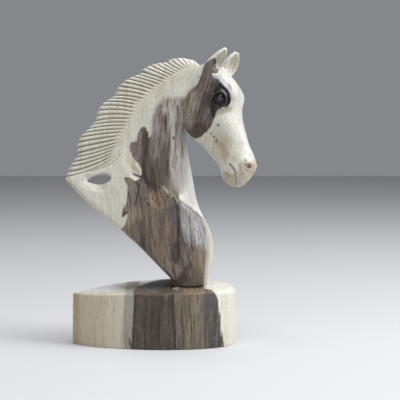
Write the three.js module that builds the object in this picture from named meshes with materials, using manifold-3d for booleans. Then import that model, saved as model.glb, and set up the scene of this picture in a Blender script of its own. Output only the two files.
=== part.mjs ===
// A horse's head and neck with its base, carved as one from a block of hibiscus wood.
// Millimetres, +Z up. The horse looks along +X, its neck stands in the plane y = 0, and its head is
// turned towards its right, -Y. The origin is the middle of the base's underside.
import * as THREE from "three";
import { ParametricGeometry } from "three/addons/geometries/ParametricGeometry.js";
import { mergeVertices } from "three/addons/utils/BufferGeometryUtils.js";
import Module from "manifold-3d";

// Driving dimensions of the base, a thick slice of a branch with its bark taken off.
const BASE_HEIGHT = 36; // at the rim
const BASE_SWELL = { x: 22, y: 8, rise: 5.6, spread: 25 }; // the top swells up round the neck's foot
const BASE_TILT = 0.03; // rise of the top towards the back, for each millimetre
const BASE_FRONT_RIM = -26.5; // where that rise begins
const BASE_LEFT_DROP = 2.4; // how much lower the pointed left end of the top is
const BASE_RIM_ROUND = 1.6;
const BASE_FLARE = 0.012; // share by which the underside is wider than the top
const BASE_FRONT = [[-54.5, -2], [-39, -14.5], [-13, -24], [11, -26.5], [34, -22], [49, -12], [55, 1]];
const BASE_BACK = [[55, 1], [53, 14], [42, 26], [19, 34.5], [-11, 33], [-36, 21], [-54.5, -2]];

// Driving dimensions of the neck. The outline is in the plane y = 0, as [x, z].
const THROAT_LINE = [
  [36.5, 33], [37.4, 46], [40, 61], [37.2, 77], [31, 89.5], [27.6, 101], [24.8, 117], [22, 132],
  [22, 142], [29.5, 157], [36, 169], [38, 179],
];
const CREST_LINE = [
  [27, 33], [20, 62], [4, 90], [-12, 112], [-23, 126], [-20.5, 136], [-16, 147], [-9.5, 159],
  [2, 169.5], [12.5, 178.3], [24, 183.6], [32, 184.5],
];
const UNDERCUT = [[15.5, 33], [14.6, 40], [3, 52.5], [-17.5, 72.5], [-45.5, 96], [-59.3, 110.5]];
// The mane's outer edge is six overlapping locks, each a short arc from its root to its tip.
const LOCKS = [
  [[-59.3, 110.5], [-55.6, 119.5], [-50, 128]],
  [[-51.6, 130.4], [-49, 138.5], [-38.8, 149.6]],
  [[-38.6, 152], [-35, 160], [-25.8, 166.6]],
  [[-25.4, 169.3], [-18.5, 176.4], [-8, 181.3]],
  [[-7.6, 183.6], [0.5, 187.2], [9.8, 188.3]],
  [[10.3, 190], [20, 190.9], [34.5, 187.2]],
];
const THICKEST = [11.5, 16.5, 18.5, 17, 15, 14, 13, 12, 11, 10, 9.5, 9];
const CREST_THICK = [11, 15.5, 15, 11, 7.5, 6.6, 6.2, 6, 6, 6.2, 6.6, 7];
const NECK_SWAY = [0, 0, 0, 0, 0, 0, 0, -0.4, -1.2, -2.2, -3.2, -4]; // towards the horse's right
const EDGE_THICK = [8.5, 11, 11.5, 7.5, 3.2, 2.4, 2.2, 2.2, 2.2, 2.2, 2.4, 3];
const FRONT_ROUND = 0.42; // share of the way from throat to crest that the rounded front takes
const EDGE_ROUND = 0.12; // share of the way from crest to edge that the edge's rounding takes
// Where the chest swells out: its upper line climbs by slope from the throat towards the crest.
const CHEST_LEDGE = { place: 3.8, slope: 0.65, rise: 2.4, run: 0.28, fade: 1.7 };
const TIP_ROW = 4; // place of the tip in the rows below, where the mane begins

// Driving dimensions of the mane's cuts, made with a V-tool.
const CUTS = 38;
const CUT_DEPTH = 1.1;
const CUT_BOWS = [-2.4, 0.4, 1.2, 0.6, -0.4, -0.6]; // how far the cuts of each lock bend
const FOOT_ROWS = 22;
const EYELET = { left: [-44.2, 109.7], top: [-33.5, 114.7], right: [-28.2, 111.6], bottom: [-35.5, 107.1] };
const EYELET_REACH = 30;

// Driving dimensions of the head, in its own frame: x to the front of the face, y to the horse's left,
// z up towards the poll, which is at z = 0.
const HEAD_AT = [39.5, -5, 183.7];
const HEAD_PITCH = 14.3; // degrees that the face leans forward of plumb
const HEAD_TURN = 22; // degrees that it turns to the right
const TURN_LEAN = 20; // degrees that the axis of the turn leans forward
const HEAD_Z = [4.4, 2.4, 0, -6, -14, -20, -28, -36, -42, -48, -56, -63, -69, -73, -77, -80.4];
const FACE = [-2, 2.2, 5.4, 9.4, 13.2, 14, 13.2, 11.8, 11.5, 11.9, 12.4, 14.2, 14.6, 12.8, 8.4, 3.6];
const JAW = [
  -6, -10, -14, -21, -26.5, -28.4, -28.6, -26.6, -23.4, -18.8, -14.2, -10.4, -9.2, -9.4, -7.4, -2.6,
];
const HALF_WIDTH = [3, 7.5, 10.2, 12.4, 13, 12.8, 11.6, 10, 8.8, 7.9, 7.6, 8.2, 8.8, 8.2, 5.8, 2.4];
const UPPER_BIAS = 0.16; // how much wider the face side of the head is than the jaw side
const BOXINESS = 2.5; // exponent of the section: 2 is an ellipse
const BROW = { x: 9.5, z: -20.5, rise: 3.4, spread: 6 };
const CHEEK = { x: -19, z: -27, rise: 3.4, spread: 11 };
const NOSTRIL_WING = { x: 9, z: -67, rise: 1.3, spread: 4.5 };
const LIP_SWELL = { x: -3, z: -72, rise: 1.2, spread: 5 };
const EYE = { at: [3.1, 11.5, -23.5], radius: [3.3, 2.7, 3.1] };
const SOCKET = { at: [3.2, 12.8, -23.5], radius: [3.6, 3, 3.4] };
const LIDS = { at: [3.8, 11.4, -23.1], radius: [5.5, 3.2, 5.7] };
const NOSTRIL = { at: [11.8, 6.4, -71], radius: [2.1, 2.4, 2] };
const MOUTH = { width: 0.9, reach: 16, top: [-1.2, -65.4], bend: [0.9, -70], end: [0.8, -83] };

// Driving dimensions of the ears, pricked forward. Their openings turn to the horse's right by turn
// degrees; width and depth are half sizes of the leaf from its root to its tip.
const EARS = {
  right: {
    root: [-0.6, -7.4, -3], tip: [14.3, -8.6, 8.6], turn: 38,
    width: [5.6, 5.4, 5, 4.2, 3, 1.2], depth: [6.2, 5.6, 4.8, 4, 2.8, 1.2],
  },
  left: {
    root: [4, 7.4, -5.8], tip: [16, 8.6, 8.4], turn: 44,
    width: [4, 4.5, 5, 4.8, 3.7, 1.8], depth: [4, 4.4, 4.8, 4.6, 3.6, 1.7],
  },
};
const EAR_OPENING = { out: 2.7, radius: [3.4, 2.5, 8.4], along: 0.6 };

const wasm = await Module();
wasm.setup();

// A solid for cutting and joining from a closed geometry, whichever way its faces point.
function solidOf(geometry) {
  const bare = geometry.clone();
  bare.deleteAttribute("normal");
  bare.deleteAttribute("uv");
  const merged = mergeVertices(bare, 1e-4);
  const faces = [];
  for (let i = 0; i < merged.index.count; i += 3) {
    const [a, b, c] = [0, 1, 2].map((k) => merged.index.getX(i + k));
    if (a !== b && b !== c && c !== a) faces.push(a, b, c);
  }
  const at = merged.attributes.position;
  const corner = (k) => new THREE.Vector3().fromBufferAttribute(at, faces[k]);
  let volume = 0;
  for (let i = 0; i < faces.length; i += 3) volume += corner(i).dot(corner(i + 1).cross(corner(i + 2)));
  if (volume < 0) faces.reverse();
  return new wasm.Manifold(
    new wasm.Mesh({ numProp: 3, vertProperties: at.array, triVerts: new Uint32Array(faces) }),
  );
}

// A value read from a list by a smooth curve through its entries; place 0 is the first entry.
function along(list, place) {
  const last = list.length - 1;
  const t = THREE.MathUtils.clamp(place, 0, last);
  const i = Math.min(Math.floor(t), last - 1);
  const [p0, p1, p2, p3] = [list[Math.max(i - 1, 0)], list[i], list[i + 1], list[Math.min(i + 2, last)]];
  const f = t - i;
  return p1 + 0.5 * f * (p2 - p0 + f * (2 * p0 - 5 * p1 + 4 * p2 - p3 + f * (3 * (p1 - p2) + p3 - p0)));
}

const flat = (points) => points.map(([x, y]) => new THREE.Vector2(x, y));
const pointAlong = (points, place) =>
  new THREE.Vector2(along(points.map((p) => p[0]), place), along(points.map((p) => p[1]), place));

// A low rounded rise, for the base's top, and for the brows, cheeks, nostrils and lips.
const rise = (form, x, other) =>
  form.rise * Math.exp(-((x - form.x) ** 2 + (other - (form.y ?? form.z)) ** 2) / form.spread ** 2);

// The base: its outline shrinks to the middle on the underside and on the domed top.
function baseSolid() {
  const outline = new THREE.CurvePath();
  outline.add(new THREE.SplineCurve(flat(BASE_FRONT)));
  outline.add(new THREE.SplineCurve(flat(BASE_BACK)));
  const topOf = (x, y) =>
    BASE_HEIGHT - BASE_LEFT_DROP * THREE.MathUtils.smoothstep(-x, 12, 55) +
    BASE_TILT * (y - BASE_FRONT_RIM) +
    rise(BASE_SWELL, x, y);
  const profile = [
    [0, 0, 0], [1 + BASE_FLARE, 0, 0], [1, 1, -BASE_RIM_ROUND], [0.985, 1, -0.3 * BASE_RIM_ROUND],
    [0.95, 1, 0], [0.7, 1, 0], [0.35, 1, 0], [0, 1, 0],
  ];
  const surface = (u, v, target) => {
    const [share, onTop, drop] = profile[Math.round(v * (profile.length - 1))];
    const rim = outline.getPoint(u % 1);
    const [x, y] = [rim.x * share, rim.y * share];
    target.set(x, y, onTop ? topOf(x, y) + drop : 0);
  };
  return solidOf(new ParametricGeometry(surface, 56, profile.length - 1));
}

// How far the chest stands out at a place along the lists and a share w of the way to the crest.
function chestSwell(place, w) {
  const { smoothstep } = THREE.MathUtils;
  const below = CHEST_LEDGE.place + CHEST_LEDGE.slope * Math.min(w, 0.5) - place;
  const ends = 1 - smoothstep(below, CHEST_LEDGE.run, CHEST_LEDGE.fade);
  return CHEST_LEDGE.rise * smoothstep(below, 0, CHEST_LEDGE.run) * ends * (1 - smoothstep(w, 0.22, 0.58));
}

// The neck and mane: one row of the surface runs from the throat over the crest to the outer edge.
function neckSolid() {
  const edge = new THREE.CurvePath();
  LOCKS.forEach((lock, i) => {
    if (i) edge.add(new THREE.LineCurve(flat(LOCKS[i - 1])[2], flat(lock)[0]));
    edge.add(new THREE.SplineCurve(flat(lock)));
  });
  const lastRow = CREST_LINE.length - 1;
  const maneRows = 2 * CUTS;
  const across = [0, 0.05, 0.16, 0.34, 0.62, 1, 1.06, 1.3, 1.6, 1.88, 1.97, 2];
  const rows = FOOT_ROWS + maneRows;

  const sections = Array.from({ length: rows + 1 }, (_, row) => {
    const inMane = Math.max(0, row - FOOT_ROWS) / maneRows;
    const place = row < FOOT_ROWS
      ? (TIP_ROW * row) / FOOT_ROWS
      : TIP_ROW + (lastRow - TIP_ROW) * inMane;
    const throat = pointAlong(THROAT_LINE, place);
    const crest = pointAlong(CREST_LINE, place);
    const outer = row < FOOT_ROWS
      ? pointAlong(UNDERCUT, ((UNDERCUT.length - 1) * row) / FOOT_ROWS)
      : edge.getPointAt(inMane);
    const bow = row < FOOT_ROWS ? (CUT_BOWS[0] * row) / FOOT_ROWS : along(CUT_BOWS, 5 * inMane);
    const sway = along(NECK_SWAY, place);
    const away = outer.clone().sub(crest).normalize();
    const cut = row > FOOT_ROWS && (row - FOOT_ROWS) % 2 ? CUT_DEPTH : 0;
    const [thick, crestThick, edgeThick] = [THICKEST, CREST_THICK, EDGE_THICK].map((t) => along(t, place));
    return across.map((w) => {
      const at = w < 1 ? throat.clone().lerp(crest, w) : crest.clone().lerp(outer, w - 1);
      if (w > 1) at.add(new THREE.Vector2(away.y, -away.x).multiplyScalar(4 * bow * (w - 1) * (2 - w)));
      let half;
      const swell = chestSwell(place, w);
      if (w < FRONT_ROUND) half = (thick + swell) * Math.sqrt(1 - (1 - w / FRONT_ROUND) ** 2);
      else if (w <= 1) {
        const fall = 0.5 - 0.5 * Math.cos((Math.PI * (w - FRONT_ROUND)) / (1 - FRONT_ROUND));
        half = THREE.MathUtils.lerp(thick, crestThick, fall) + swell;
      } else {
        const rounding = Math.max(0, (w - 2 + EDGE_ROUND) / EDGE_ROUND);
        half = THREE.MathUtils.lerp(crestThick, edgeThick, w - 1) * Math.sqrt(1 - rounding ** 2);
        half -= Math.min(cut, half * 0.6) * THREE.MathUtils.smoothstep(w, 1, 1.06);
      }
      return [at.x, half, at.y, sway];
    });
  });

  // Round the ring: out along the right flank and back along the left.
  const ring = 2 * (across.length - 1);
  const surface = (u, v, target) => {
    const section = sections[Math.round(u * rows)];
    const step = Math.round(v * ring) % ring;
    const right = step < across.length;
    const [x, half, z, sway] = section[right ? step : ring - step];
    target.set(x, sway + (right ? -half : half), z);
  };
  const middleOf = (section) =>
    section.reduce((sum, [x, , z]) => sum.add(new THREE.Vector2(x, z)), new THREE.Vector2())
      .divideScalar(section.length);
  const capped = (u, v, target) => {
    const inner = (u * (rows + 2) - 1) / rows;
    surface(THREE.MathUtils.clamp(inner, 0, 1), v, target);
    if (inner >= 0 && inner <= 1) return;
    const middle = middleOf(sections[inner < 0 ? 0 : rows]);
    target.set(middle.x, inner < 0 ? 0 : NECK_SWAY[lastRow], middle.y);
  };
  return solidOf(new ParametricGeometry(capped, rows + 2, ring));
}

// The pointed hole under the last lock of the mane, cut right through.
function eyeletSolid() {
  const outline = new THREE.Shape();
  const [left, top, right, bottom] = flat([EYELET.left, EYELET.top, EYELET.right, EYELET.bottom]);
  outline.moveTo(left.x, left.y);
  outline.splineThru([new THREE.Vector2((left.x + top.x) / 2, top.y - 1.2), top, right]);
  outline.splineThru([new THREE.Vector2(right.x - 2, bottom.y + 1), bottom, left]);
  const through = { depth: EYELET_REACH, bevelEnabled: false, curveSegments: 5 };
  const cut = new THREE.ExtrudeGeometry(outline, through);
  return solidOf(cut.rotateX(Math.PI / 2).translate(0, EYELET_REACH / 2, 0));
}

// The head: sections across its length, each a rounded box between face and jaw.
function headSolid() {
  const lengthSteps = 38;
  const ringSteps = 26;
  const last = HEAD_Z.length - 1;
  const surface = (u, v, target) => {
    const place = THREE.MathUtils.clamp((u * (lengthSteps + 2) - 1) / lengthSteps, 0, 1) * last;
    const closed = u === 0 || u === 1 ? 0 : 1;
    const [z, face, jaw, width] = [HEAD_Z, FACE, JAW, HALF_WIDTH].map((list) => along(list, place));
    const angle = 2 * Math.PI * (v % 1);
    const power = (value) => Math.sign(value) * Math.abs(value) ** (2 / BOXINESS);
    const front = power(Math.cos(angle));
    const x = (face + jaw) / 2 + (closed * front * (face - jaw)) / 2;
    const side = power(Math.sin(angle));
    let y = closed * side * width * (1 + UPPER_BIAS * front);
    for (const form of [BROW, CHEEK, NOSTRIL_WING, LIP_SWELL]) y += closed * side * rise(form, x, z);
    target.set(x, y, z);
  };
  return solidOf(new ParametricGeometry(surface, lengthSteps + 2, ringSteps));
}

const ellipsoid = ({ at, radius }, side, detail) =>
  solidOf(
    new THREE.SphereGeometry(1, detail, Math.round(detail * 0.6))
      .scale(...radius)
      .translate(at[0], side * at[1], at[2]),
  );

// The mouth is one saw-thin cut from the corner of the lips out through their front.
function mouthSolid() {
  const [top, bend, end] = flat([MOUTH.top, MOUTH.bend, MOUTH.end]);
  const half = MOUTH.width / 2;
  const outline = new THREE.Shape([
    top, new THREE.Vector2(bend.x + half, bend.y), new THREE.Vector2(end.x + half, end.y),
    new THREE.Vector2(end.x - half, end.y), new THREE.Vector2(bend.x - half, bend.y),
  ]);
  const cut = new THREE.ExtrudeGeometry(outline, { depth: 2 * MOUTH.reach, bevelEnabled: false });
  return solidOf(cut.rotateX(Math.PI / 2).translate(0, MOUTH.reach, 0));
}

// One ear: a leaf along the line from root to tip, hollowed on its open side.
function earSolid(ear) {
  const root = new THREE.Vector3(...ear.root);
  const up = new THREE.Vector3(...ear.tip).sub(root);
  const length = up.length();
  const leafSteps = 10;
  const leaf = (u, v, target) => {
    const place = THREE.MathUtils.clamp((u * (leafSteps + 2) - 1) / leafSteps, 0, 1);
    const closed = u === 0 || u === 1 ? 0 : 1;
    const angle = 2 * Math.PI * (v % 1);
    target.set(
      closed * along(ear.depth, place * 5) * Math.cos(angle),
      closed * along(ear.width, place * 5) * Math.sin(angle),
      (u === 1 ? 1.03 : place) * length,
    );
  };
  const body = solidOf(new ParametricGeometry(leaf, leafSteps + 2, 14));
  const hollow = solidOf(
    new THREE.SphereGeometry(1, 12, 10)
      .scale(EAR_OPENING.radius[1], EAR_OPENING.radius[0], EAR_OPENING.radius[2])
      .translate(EAR_OPENING.out, 0, length * EAR_OPENING.along),
  );
  up.normalize();
  const ahead = new THREE.Vector3(up.z, 0, -up.x).normalize();
  ahead.applyAxisAngle(up, -THREE.MathUtils.degToRad(ear.turn));
  const frame = new THREE.Matrix4().makeBasis(ahead, up.clone().cross(ahead), up).setPosition(root);
  return body.subtract(hollow).transform(frame.elements);
}

// The head's own frame in the frame of the whole: pitched, then turned about an axis that leans.
function headFrame() {
  const radians = THREE.MathUtils.degToRad;
  const axis = new THREE.Vector3(Math.sin(radians(TURN_LEAN)), 0, Math.cos(radians(TURN_LEAN)));
  return new THREE.Matrix4()
    .makeRotationAxis(axis, -radians(HEAD_TURN))
    .multiply(new THREE.Matrix4().makeRotationY(-radians(HEAD_PITCH)))
    .setPosition(...HEAD_AT);
}

function carving() {
  let head = headSolid();
  for (const side of [-1, 1]) {
    head = head.add(ellipsoid(LIDS, side, 16)).subtract(ellipsoid(SOCKET, side, 14));
    head = head.add(ellipsoid(EYE, side, 12)).add(earSolid(side < 0 ? EARS.right : EARS.left));
    head = head.subtract(ellipsoid(NOSTRIL, side, 8));
  }
  head = head.subtract(mouthSolid()).transform(headFrame().elements);
  return neckSolid().subtract(eyeletSolid()).add(baseSolid()).add(head);
}

const { vertProperties, triVerts } = carving().getMesh();
const geometry = new THREE.BufferGeometry()
  .setAttribute("position", new THREE.BufferAttribute(vertProperties, 3))
  .setIndex(new THREE.BufferAttribute(triVerts, 1));
geometry.computeVertexNormals();

const hibiscus = new THREE.MeshStandardMaterial({ color: "#b9ae97", roughness: 0.6, metalness: 0 });
const horse = new THREE.Mesh(geometry, hibiscus);
horse.name = "horse_head_carving";

const sculpture = new THREE.Group();
sculpture.add(horse);
export default sculpture;
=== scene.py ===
import bmesh
import bpy
import numpy as np
from mathutils import Matrix, Vector


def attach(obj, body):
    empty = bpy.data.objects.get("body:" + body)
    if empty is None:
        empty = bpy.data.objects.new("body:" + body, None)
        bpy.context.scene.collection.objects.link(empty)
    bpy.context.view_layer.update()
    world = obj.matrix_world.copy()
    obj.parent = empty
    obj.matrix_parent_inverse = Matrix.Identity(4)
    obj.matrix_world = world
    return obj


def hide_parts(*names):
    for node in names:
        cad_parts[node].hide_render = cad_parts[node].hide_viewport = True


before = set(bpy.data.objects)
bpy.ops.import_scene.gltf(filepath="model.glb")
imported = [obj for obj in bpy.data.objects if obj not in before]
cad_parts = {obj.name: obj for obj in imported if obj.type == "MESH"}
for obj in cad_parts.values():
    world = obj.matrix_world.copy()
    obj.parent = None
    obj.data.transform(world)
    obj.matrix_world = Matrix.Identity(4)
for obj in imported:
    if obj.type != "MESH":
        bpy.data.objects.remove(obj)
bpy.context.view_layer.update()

# The view: a short telephoto lens about 0.8 m from the carving, a little above its head, looking
# square onto the side of the neck. Places are in mm, which MM turns to metres.
LENS, SENSOR, VIEW_WIDTH = 107.5, 36.0, 400
AIM = np.array([30.8, 0.0, 96.6])
DISTANCE = 800.0
LOOK_DOWN = np.radians(3.3)
MM = 0.001


def in_scene(name, data):
    """An object of that name with that data, linked into the scene."""
    made = bpy.data.objects.new(name, data)
    bpy.context.scene.collection.objects.link(made)
    return made


camera_data = bpy.data.cameras.new("view")
camera_data.lens, camera_data.sensor_width = LENS, SENSOR
camera = in_scene("view", camera_data)
TO_CAMERA = np.array([0.0, -np.cos(LOOK_DOWN), np.sin(LOOK_DOWN)])
camera.location = Vector((AIM + DISTANCE * TO_CAMERA) * MM)
camera.rotation_euler = (np.pi / 2 - LOOK_DOWN, 0.0, 0.0)
bpy.context.scene.camera = camera

# The neck and chest: a slab of hibiscus wood standing in the plane y = 0, sawn to its outline, then
# rounded with a gouge at the throat and thinned towards the mane. Lists run from the foot up: x and z
# of the outline, half thicknesses, and how far the middle plane sways to the horse's right.
THROAT_LINE = [
    (36.5, 33), (37.4, 46), (40, 61), (37.2, 77), (31, 89.5), (27.6, 101), (24.8, 117), (22, 132),
    (22, 142), (29.5, 157), (36, 169), (38, 179),
]
CREST_LINE = [
    (27, 33), (20, 62), (4, 90), (-12, 112), (-23, 126), (-20.5, 136), (-16, 147), (-9.5, 159),
    (2, 169.5), (12.5, 178.3), (24, 183.6), (32, 184.5),
]
UNDERCUT = [(15.5, 33), (14.6, 40), (3, 52.5), (-17.5, 72.5), (-45.5, 96), (-59.3, 110.5)]
THICKEST = [11.5, 16.5, 18.5, 17, 15, 14, 13, 12, 11, 10, 9.5, 9]
CREST_THICK = [11, 15.5, 15, 11, 7.5, 6.6, 6.2, 6, 6, 6.2, 6.6, 7]
EDGE_THICK = [8.5, 11, 11.5, 7.5, 3.2, 2.4, 2.2, 2.2, 2.2, 2.2, 2.4, 3]
NECK_SWAY = [0, 0, 0, 0, 0, 0, 0, -0.4, -1.2, -2.2, -3.2, -4]
FRONT_ROUND, EDGE_ROUND = 0.42, 0.12
CREST_BLEND, BLUR_CELLS = 0.22, 8
NECK_ROOT, SLOPE_FLOOR, SQUARE_FLOOR, UNDER_EDGE = 27.0, 1.5, -60, (1.9, 1.985)
TIP_PLACE, FOOT_ROWS = 4, 22
MAP_LOW, MAP_HIGH, MAP_STEP = (-66.0, 24.0), (48.0, 197.0), 0.5
# The chest swells out under a crisp line that climbs from the throat towards the crest: where it
# starts and how fast it climbs, its rise in mm and the curve of that, where it has sunk again, and
# the share of the way to the crest over which it ends.
LEDGE = {"place": 3.84, "slope": 0.65, "rise": 4.2, "run": 0.36, "curve": 1.6,
         "fade": 1.7, "ends": (0.22, 0.58)}


def along(values, place):
    """Value at a fractional place in a list: on each span a cubic whose slopes at the two ends are
    half the difference between their neighbours."""
    v = np.asarray(values, float)
    last = len(v) - 1
    t = np.clip(np.asarray(place, float), 0, last)
    i = np.minimum(t.astype(int), last - 1)
    f = (t - i).reshape(t.shape + (1,) * (v.ndim - 1))
    a, b, c, d = v[np.maximum(i - 1, 0)], v[i], v[i + 1], v[np.minimum(i + 2, last)]
    return b + 0.5 * f * (c - a + f * (2 * a - 5 * b + 4 * c - d + f * (3 * (b - c) + d - a)))


def smooth(value, low, high):
    """0 below low, 1 above high, 3t2 - 2t3 between them."""
    t = np.clip((value - low) / (high - low), 0, 1)
    return t * t * (3 - 2 * t)


def blurred(values, reach):
    """Mean over a square that reaches so many cells each way, taken three times."""
    for axis in (0, 1) * 3:
        v = np.moveaxis(values, axis, 0)
        padded = np.concatenate([np.repeat(v[:1], reach + 1, 0), v, np.repeat(v[-1:], reach, 0)])
        total = np.cumsum(padded, 0)
        mean = (total[2 * reach + 1:] - total[:-2 * reach - 1]) / (2 * reach + 1)
        values = np.moveaxis(mean, 0, axis)
    return values


def sampler(x0, z0, step, values):
    """Reads a map at any point, weighing its four nearest grid values by nearness."""
    def read(x, z):
        """The map's value at each point."""
        u = np.clip((x - x0) / step, 0, values.shape[0] - 1.001)
        v = np.clip((z - z0) / step, 0, values.shape[1] - 1.001)
        i, j = u.astype(int), v.astype(int)
        u, v = u - i, v - j
        low = values[i, j] * (1 - u) + values[i + 1, j] * u
        high = values[i, j + 1] * (1 - u) + values[i + 1, j + 1] * u
        return low * (1 - v) + high * v
    return read


# The mane: a thin fin left behind the crest. Its outer edge is sawn into six overlapping locks, and
# both flanks are cut with a V-tool into close strands that fan out from the crest.
LOCKS = [
    [(-59.3, 110.5), (-55.6, 119.5), (-50, 128)],
    [(-51.6, 130.4), (-49, 138.5), (-38.8, 149.6)],
    [(-38.6, 152), (-35, 160), (-25.8, 166.6)],
    [(-25.4, 169.3), (-18.5, 176.4), (-8, 181.3)],
    [(-7.6, 183.6), (0.5, 187.2), (9.8, 188.3)],
    [(10.3, 190), (20, 190.9), (34.5, 187.2)],
]
CUTS = 38
CUT_DEPTH, CUT_MOST, CUT_NOTCH = 0.95, 0.55, 0.03
CUT_BOWS = [-2.4, 0.4, 1.2, 0.6, -0.4, -0.6]
# Each cut's sides run from this share of a strand's half width to its middle, and it starts this far
# past the crest. Start and depth vary a little, the cuts grow shallow towards the poll, and the lowest
# one deepens over these rows above the foot's.
CUT_SIDES, CUT_START, START_VARIES, DEPTH_VARIES = (0.3, 1.0), (1.02, 1.2), 0.05, 0.25
POLL_PLACES, POLL_SHALLOW = (9, 11), 0.55
FIRST_CUT = (0.4, 1.2)


def lock_edge(share):
    """Point on the locks' outer edge at a share of its length: the locks' curves joined by short
    straight steps and walked at an even pace."""
    walk = np.concatenate([along(lock, np.linspace(0, 2, 60)) for lock in LOCKS])
    length = np.concatenate([[0], np.cumsum(np.hypot(*np.diff(walk, axis=0).T))])
    at = np.asarray(share) * length[-1]
    return np.stack([np.interp(at, length, walk[:, k]) for k in (0, 1)], -1)


def row_through(X, Z, starts, ends, bows):
    """Which row line passes through each point, and how far along it: the first pair of neighbouring
    rows with the point between them, which share it out by its distance from each."""
    found = np.full(X.shape, -1.0)
    share = np.zeros(X.shape)
    before = part_before = None
    for k, (start, end, bow) in enumerate(zip(starts, ends, bows)):
        span = end - start
        length = np.hypot(*span)
        ux, uz = span / length
        part = ((X - start[0]) * ux + (Z - start[1]) * uz) / length
        inside = np.clip(part, 0, 1)
        side = uz * (X - start[0]) - ux * (Z - start[1]) - 4 * bow * inside * (1 - inside)
        if k == 0:
            first = side <= 0
            found[first], share[first] = 0, part[first]
        else:
            here = (found < 0) & (before > 0) & (side <= 0)
            mix = before[here] / (before[here] - side[here])
            found[here] = k - 1 + mix
            share[here] = part_before[here] * (1 - mix) + part[here] * mix
        before, part_before = side, part
    beyond = found < 0
    found[beyond], share[beyond] = len(starts) - 1, part_before[beyond]
    return found, share, before


LAST_ROW = FOOT_ROWS + 2 * CUTS
ROWS = np.linspace(0, LAST_ROW, 2 * LAST_ROW + 1)


def place_of(row):
    """Place in the lists for a row: the foot's rows run to the tip, the mane's from there on."""
    last = len(CREST_LINE) - 1
    mane = (row - FOOT_ROWS) / (2 * CUTS)
    return np.where(row < FOOT_ROWS, TIP_PLACE * row / FOOT_ROWS, TIP_PLACE + (last - TIP_PLACE) * mane)


def neck_maps():
    """Maps over the plane of the neck: the square of its half thickness, which goes below zero
    outside the outline, and its slopes; how deep in the valley between two strands a point lies,
    from 0 to 1; how far past the last row it lies; the sway of the middle plane; and how near it is,
    from 0 to 1, to the outer edge of the undercut."""
    (x0, z0), (x1, z1) = MAP_LOW, MAP_HIGH
    X, Z = np.meshgrid(np.arange(x0, x1, MAP_STEP), np.arange(z0, z1, MAP_STEP), indexing="ij")
    mane = np.clip((ROWS - FOOT_ROWS) / (2 * CUTS), 0, 1)
    foot = np.clip(ROWS / FOOT_ROWS, 0, 1)
    throat, crest = along(THROAT_LINE, place_of(ROWS)), along(CREST_LINE, place_of(ROWS))
    under = along(UNDERCUT, (len(UNDERCUT) - 1) * foot)
    outer = np.where(ROWS[:, None] < FOOT_ROWS, under, lock_edge(mane))
    bows = np.where(ROWS < FOOT_ROWS, CUT_BOWS[0] * foot, along(CUT_BOWS, (len(CUT_BOWS) - 1) * mane))
    row_a, w_a, past = row_through(X, Z, throat, crest, 0 * bows)
    row_b, w_b, _ = row_through(X, Z, crest, outer, bows)
    front = w_a <= 1
    coarse_row = np.where(front, row_a, row_b) / 2
    coarse_w = np.where(front, w_a, 1 + np.maximum(w_b, 0))

    fine = MAP_STEP / 2
    X, Z = np.meshgrid(np.arange(x0, x1 - 1, fine), np.arange(z0, z1 - 1, fine), indexing="ij")
    row, w = (sampler(x0, z0, MAP_STEP, m)(X, Z) for m in (coarse_row, coarse_w))
    place = place_of(row)
    below = (LEDGE["place"] + LEDGE["slope"] * np.clip(w, 0, 0.5) - place) / LEDGE["run"]
    ledge = LEDGE["rise"] * np.clip(below, 0, 1) ** LEDGE["curve"] * (1 - smooth(w, *LEDGE["ends"]))
    ledge = ledge * (1 - smooth(below, 1, LEDGE["fade"] / LEDGE["run"]))
    thick, edge, at_crest = (along(v, place) for v in (THICKEST, EDGE_THICK, CREST_THICK))
    fall = 0.5 - 0.5 * np.cos(np.pi * np.clip((w - FRONT_ROUND) / (1 - FRONT_ROUND), 0, 1))
    half = np.where(w <= 1, thick + (at_crest - thick) * fall + ledge,
                    at_crest + (edge - at_crest) * np.clip(w - 1, 0, 1))
    half += (blurred(half, BLUR_CELLS) - half) * np.exp(-(((w - 1) / CREST_BLEND) ** 2))
    front_part = (thick + ledge) ** 2 * (1 - (1 - w / FRONT_ROUND) ** 2)

    strand = (row - FOOT_ROWS) / 2
    number = np.floor(strand)
    chance = np.modf(np.sin(number * 12.99) * 437.5)[0]
    valley = smooth(1 - np.abs(2 * (strand - number) - 1), *CUT_SIDES)
    valley *= 1 - POLL_SHALLOW * smooth(place, *POLL_PLACES)
    start = [share + START_VARIES * chance for share in CUT_START]
    valley *= smooth(w, *start) * smooth(row, FOOT_ROWS + FIRST_CUT[0], FOOT_ROWS + FIRST_CUT[1])
    cut = CUT_DEPTH * (1 + DEPTH_VARIES * chance) * valley
    rounding = np.clip((w - 2 + EDGE_ROUND + CUT_NOTCH * valley) / EDGE_ROUND, 0, 3)
    sharp = np.where(row < FOOT_ROWS, 3.0, 2.0)
    back_part = (half - np.minimum(cut, CUT_MOST * half)) ** 2 * (1 - rounding**sharp)
    square = np.where(w < FRONT_ROUND, front_part, np.where(w <= 1, half**2, back_part))
    square = np.maximum(square, SQUARE_FLOOR)
    slopes = np.gradient(square, fine)
    past = sampler(x0, z0, MAP_STEP, past)(X, Z)
    rim = smooth(w, *UNDER_EDGE) * (row < FOOT_ROWS)
    maps = {
        "square": square, "slope_x": slopes[0], "slope_z": slopes[1], "valley": valley, "past": past,
        "sway": along(NECK_SWAY, place), "rim": rim,
    }
    return {name: sampler(x0, z0, fine, values) for name, values in maps.items()}


NECK = neck_maps()


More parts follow.
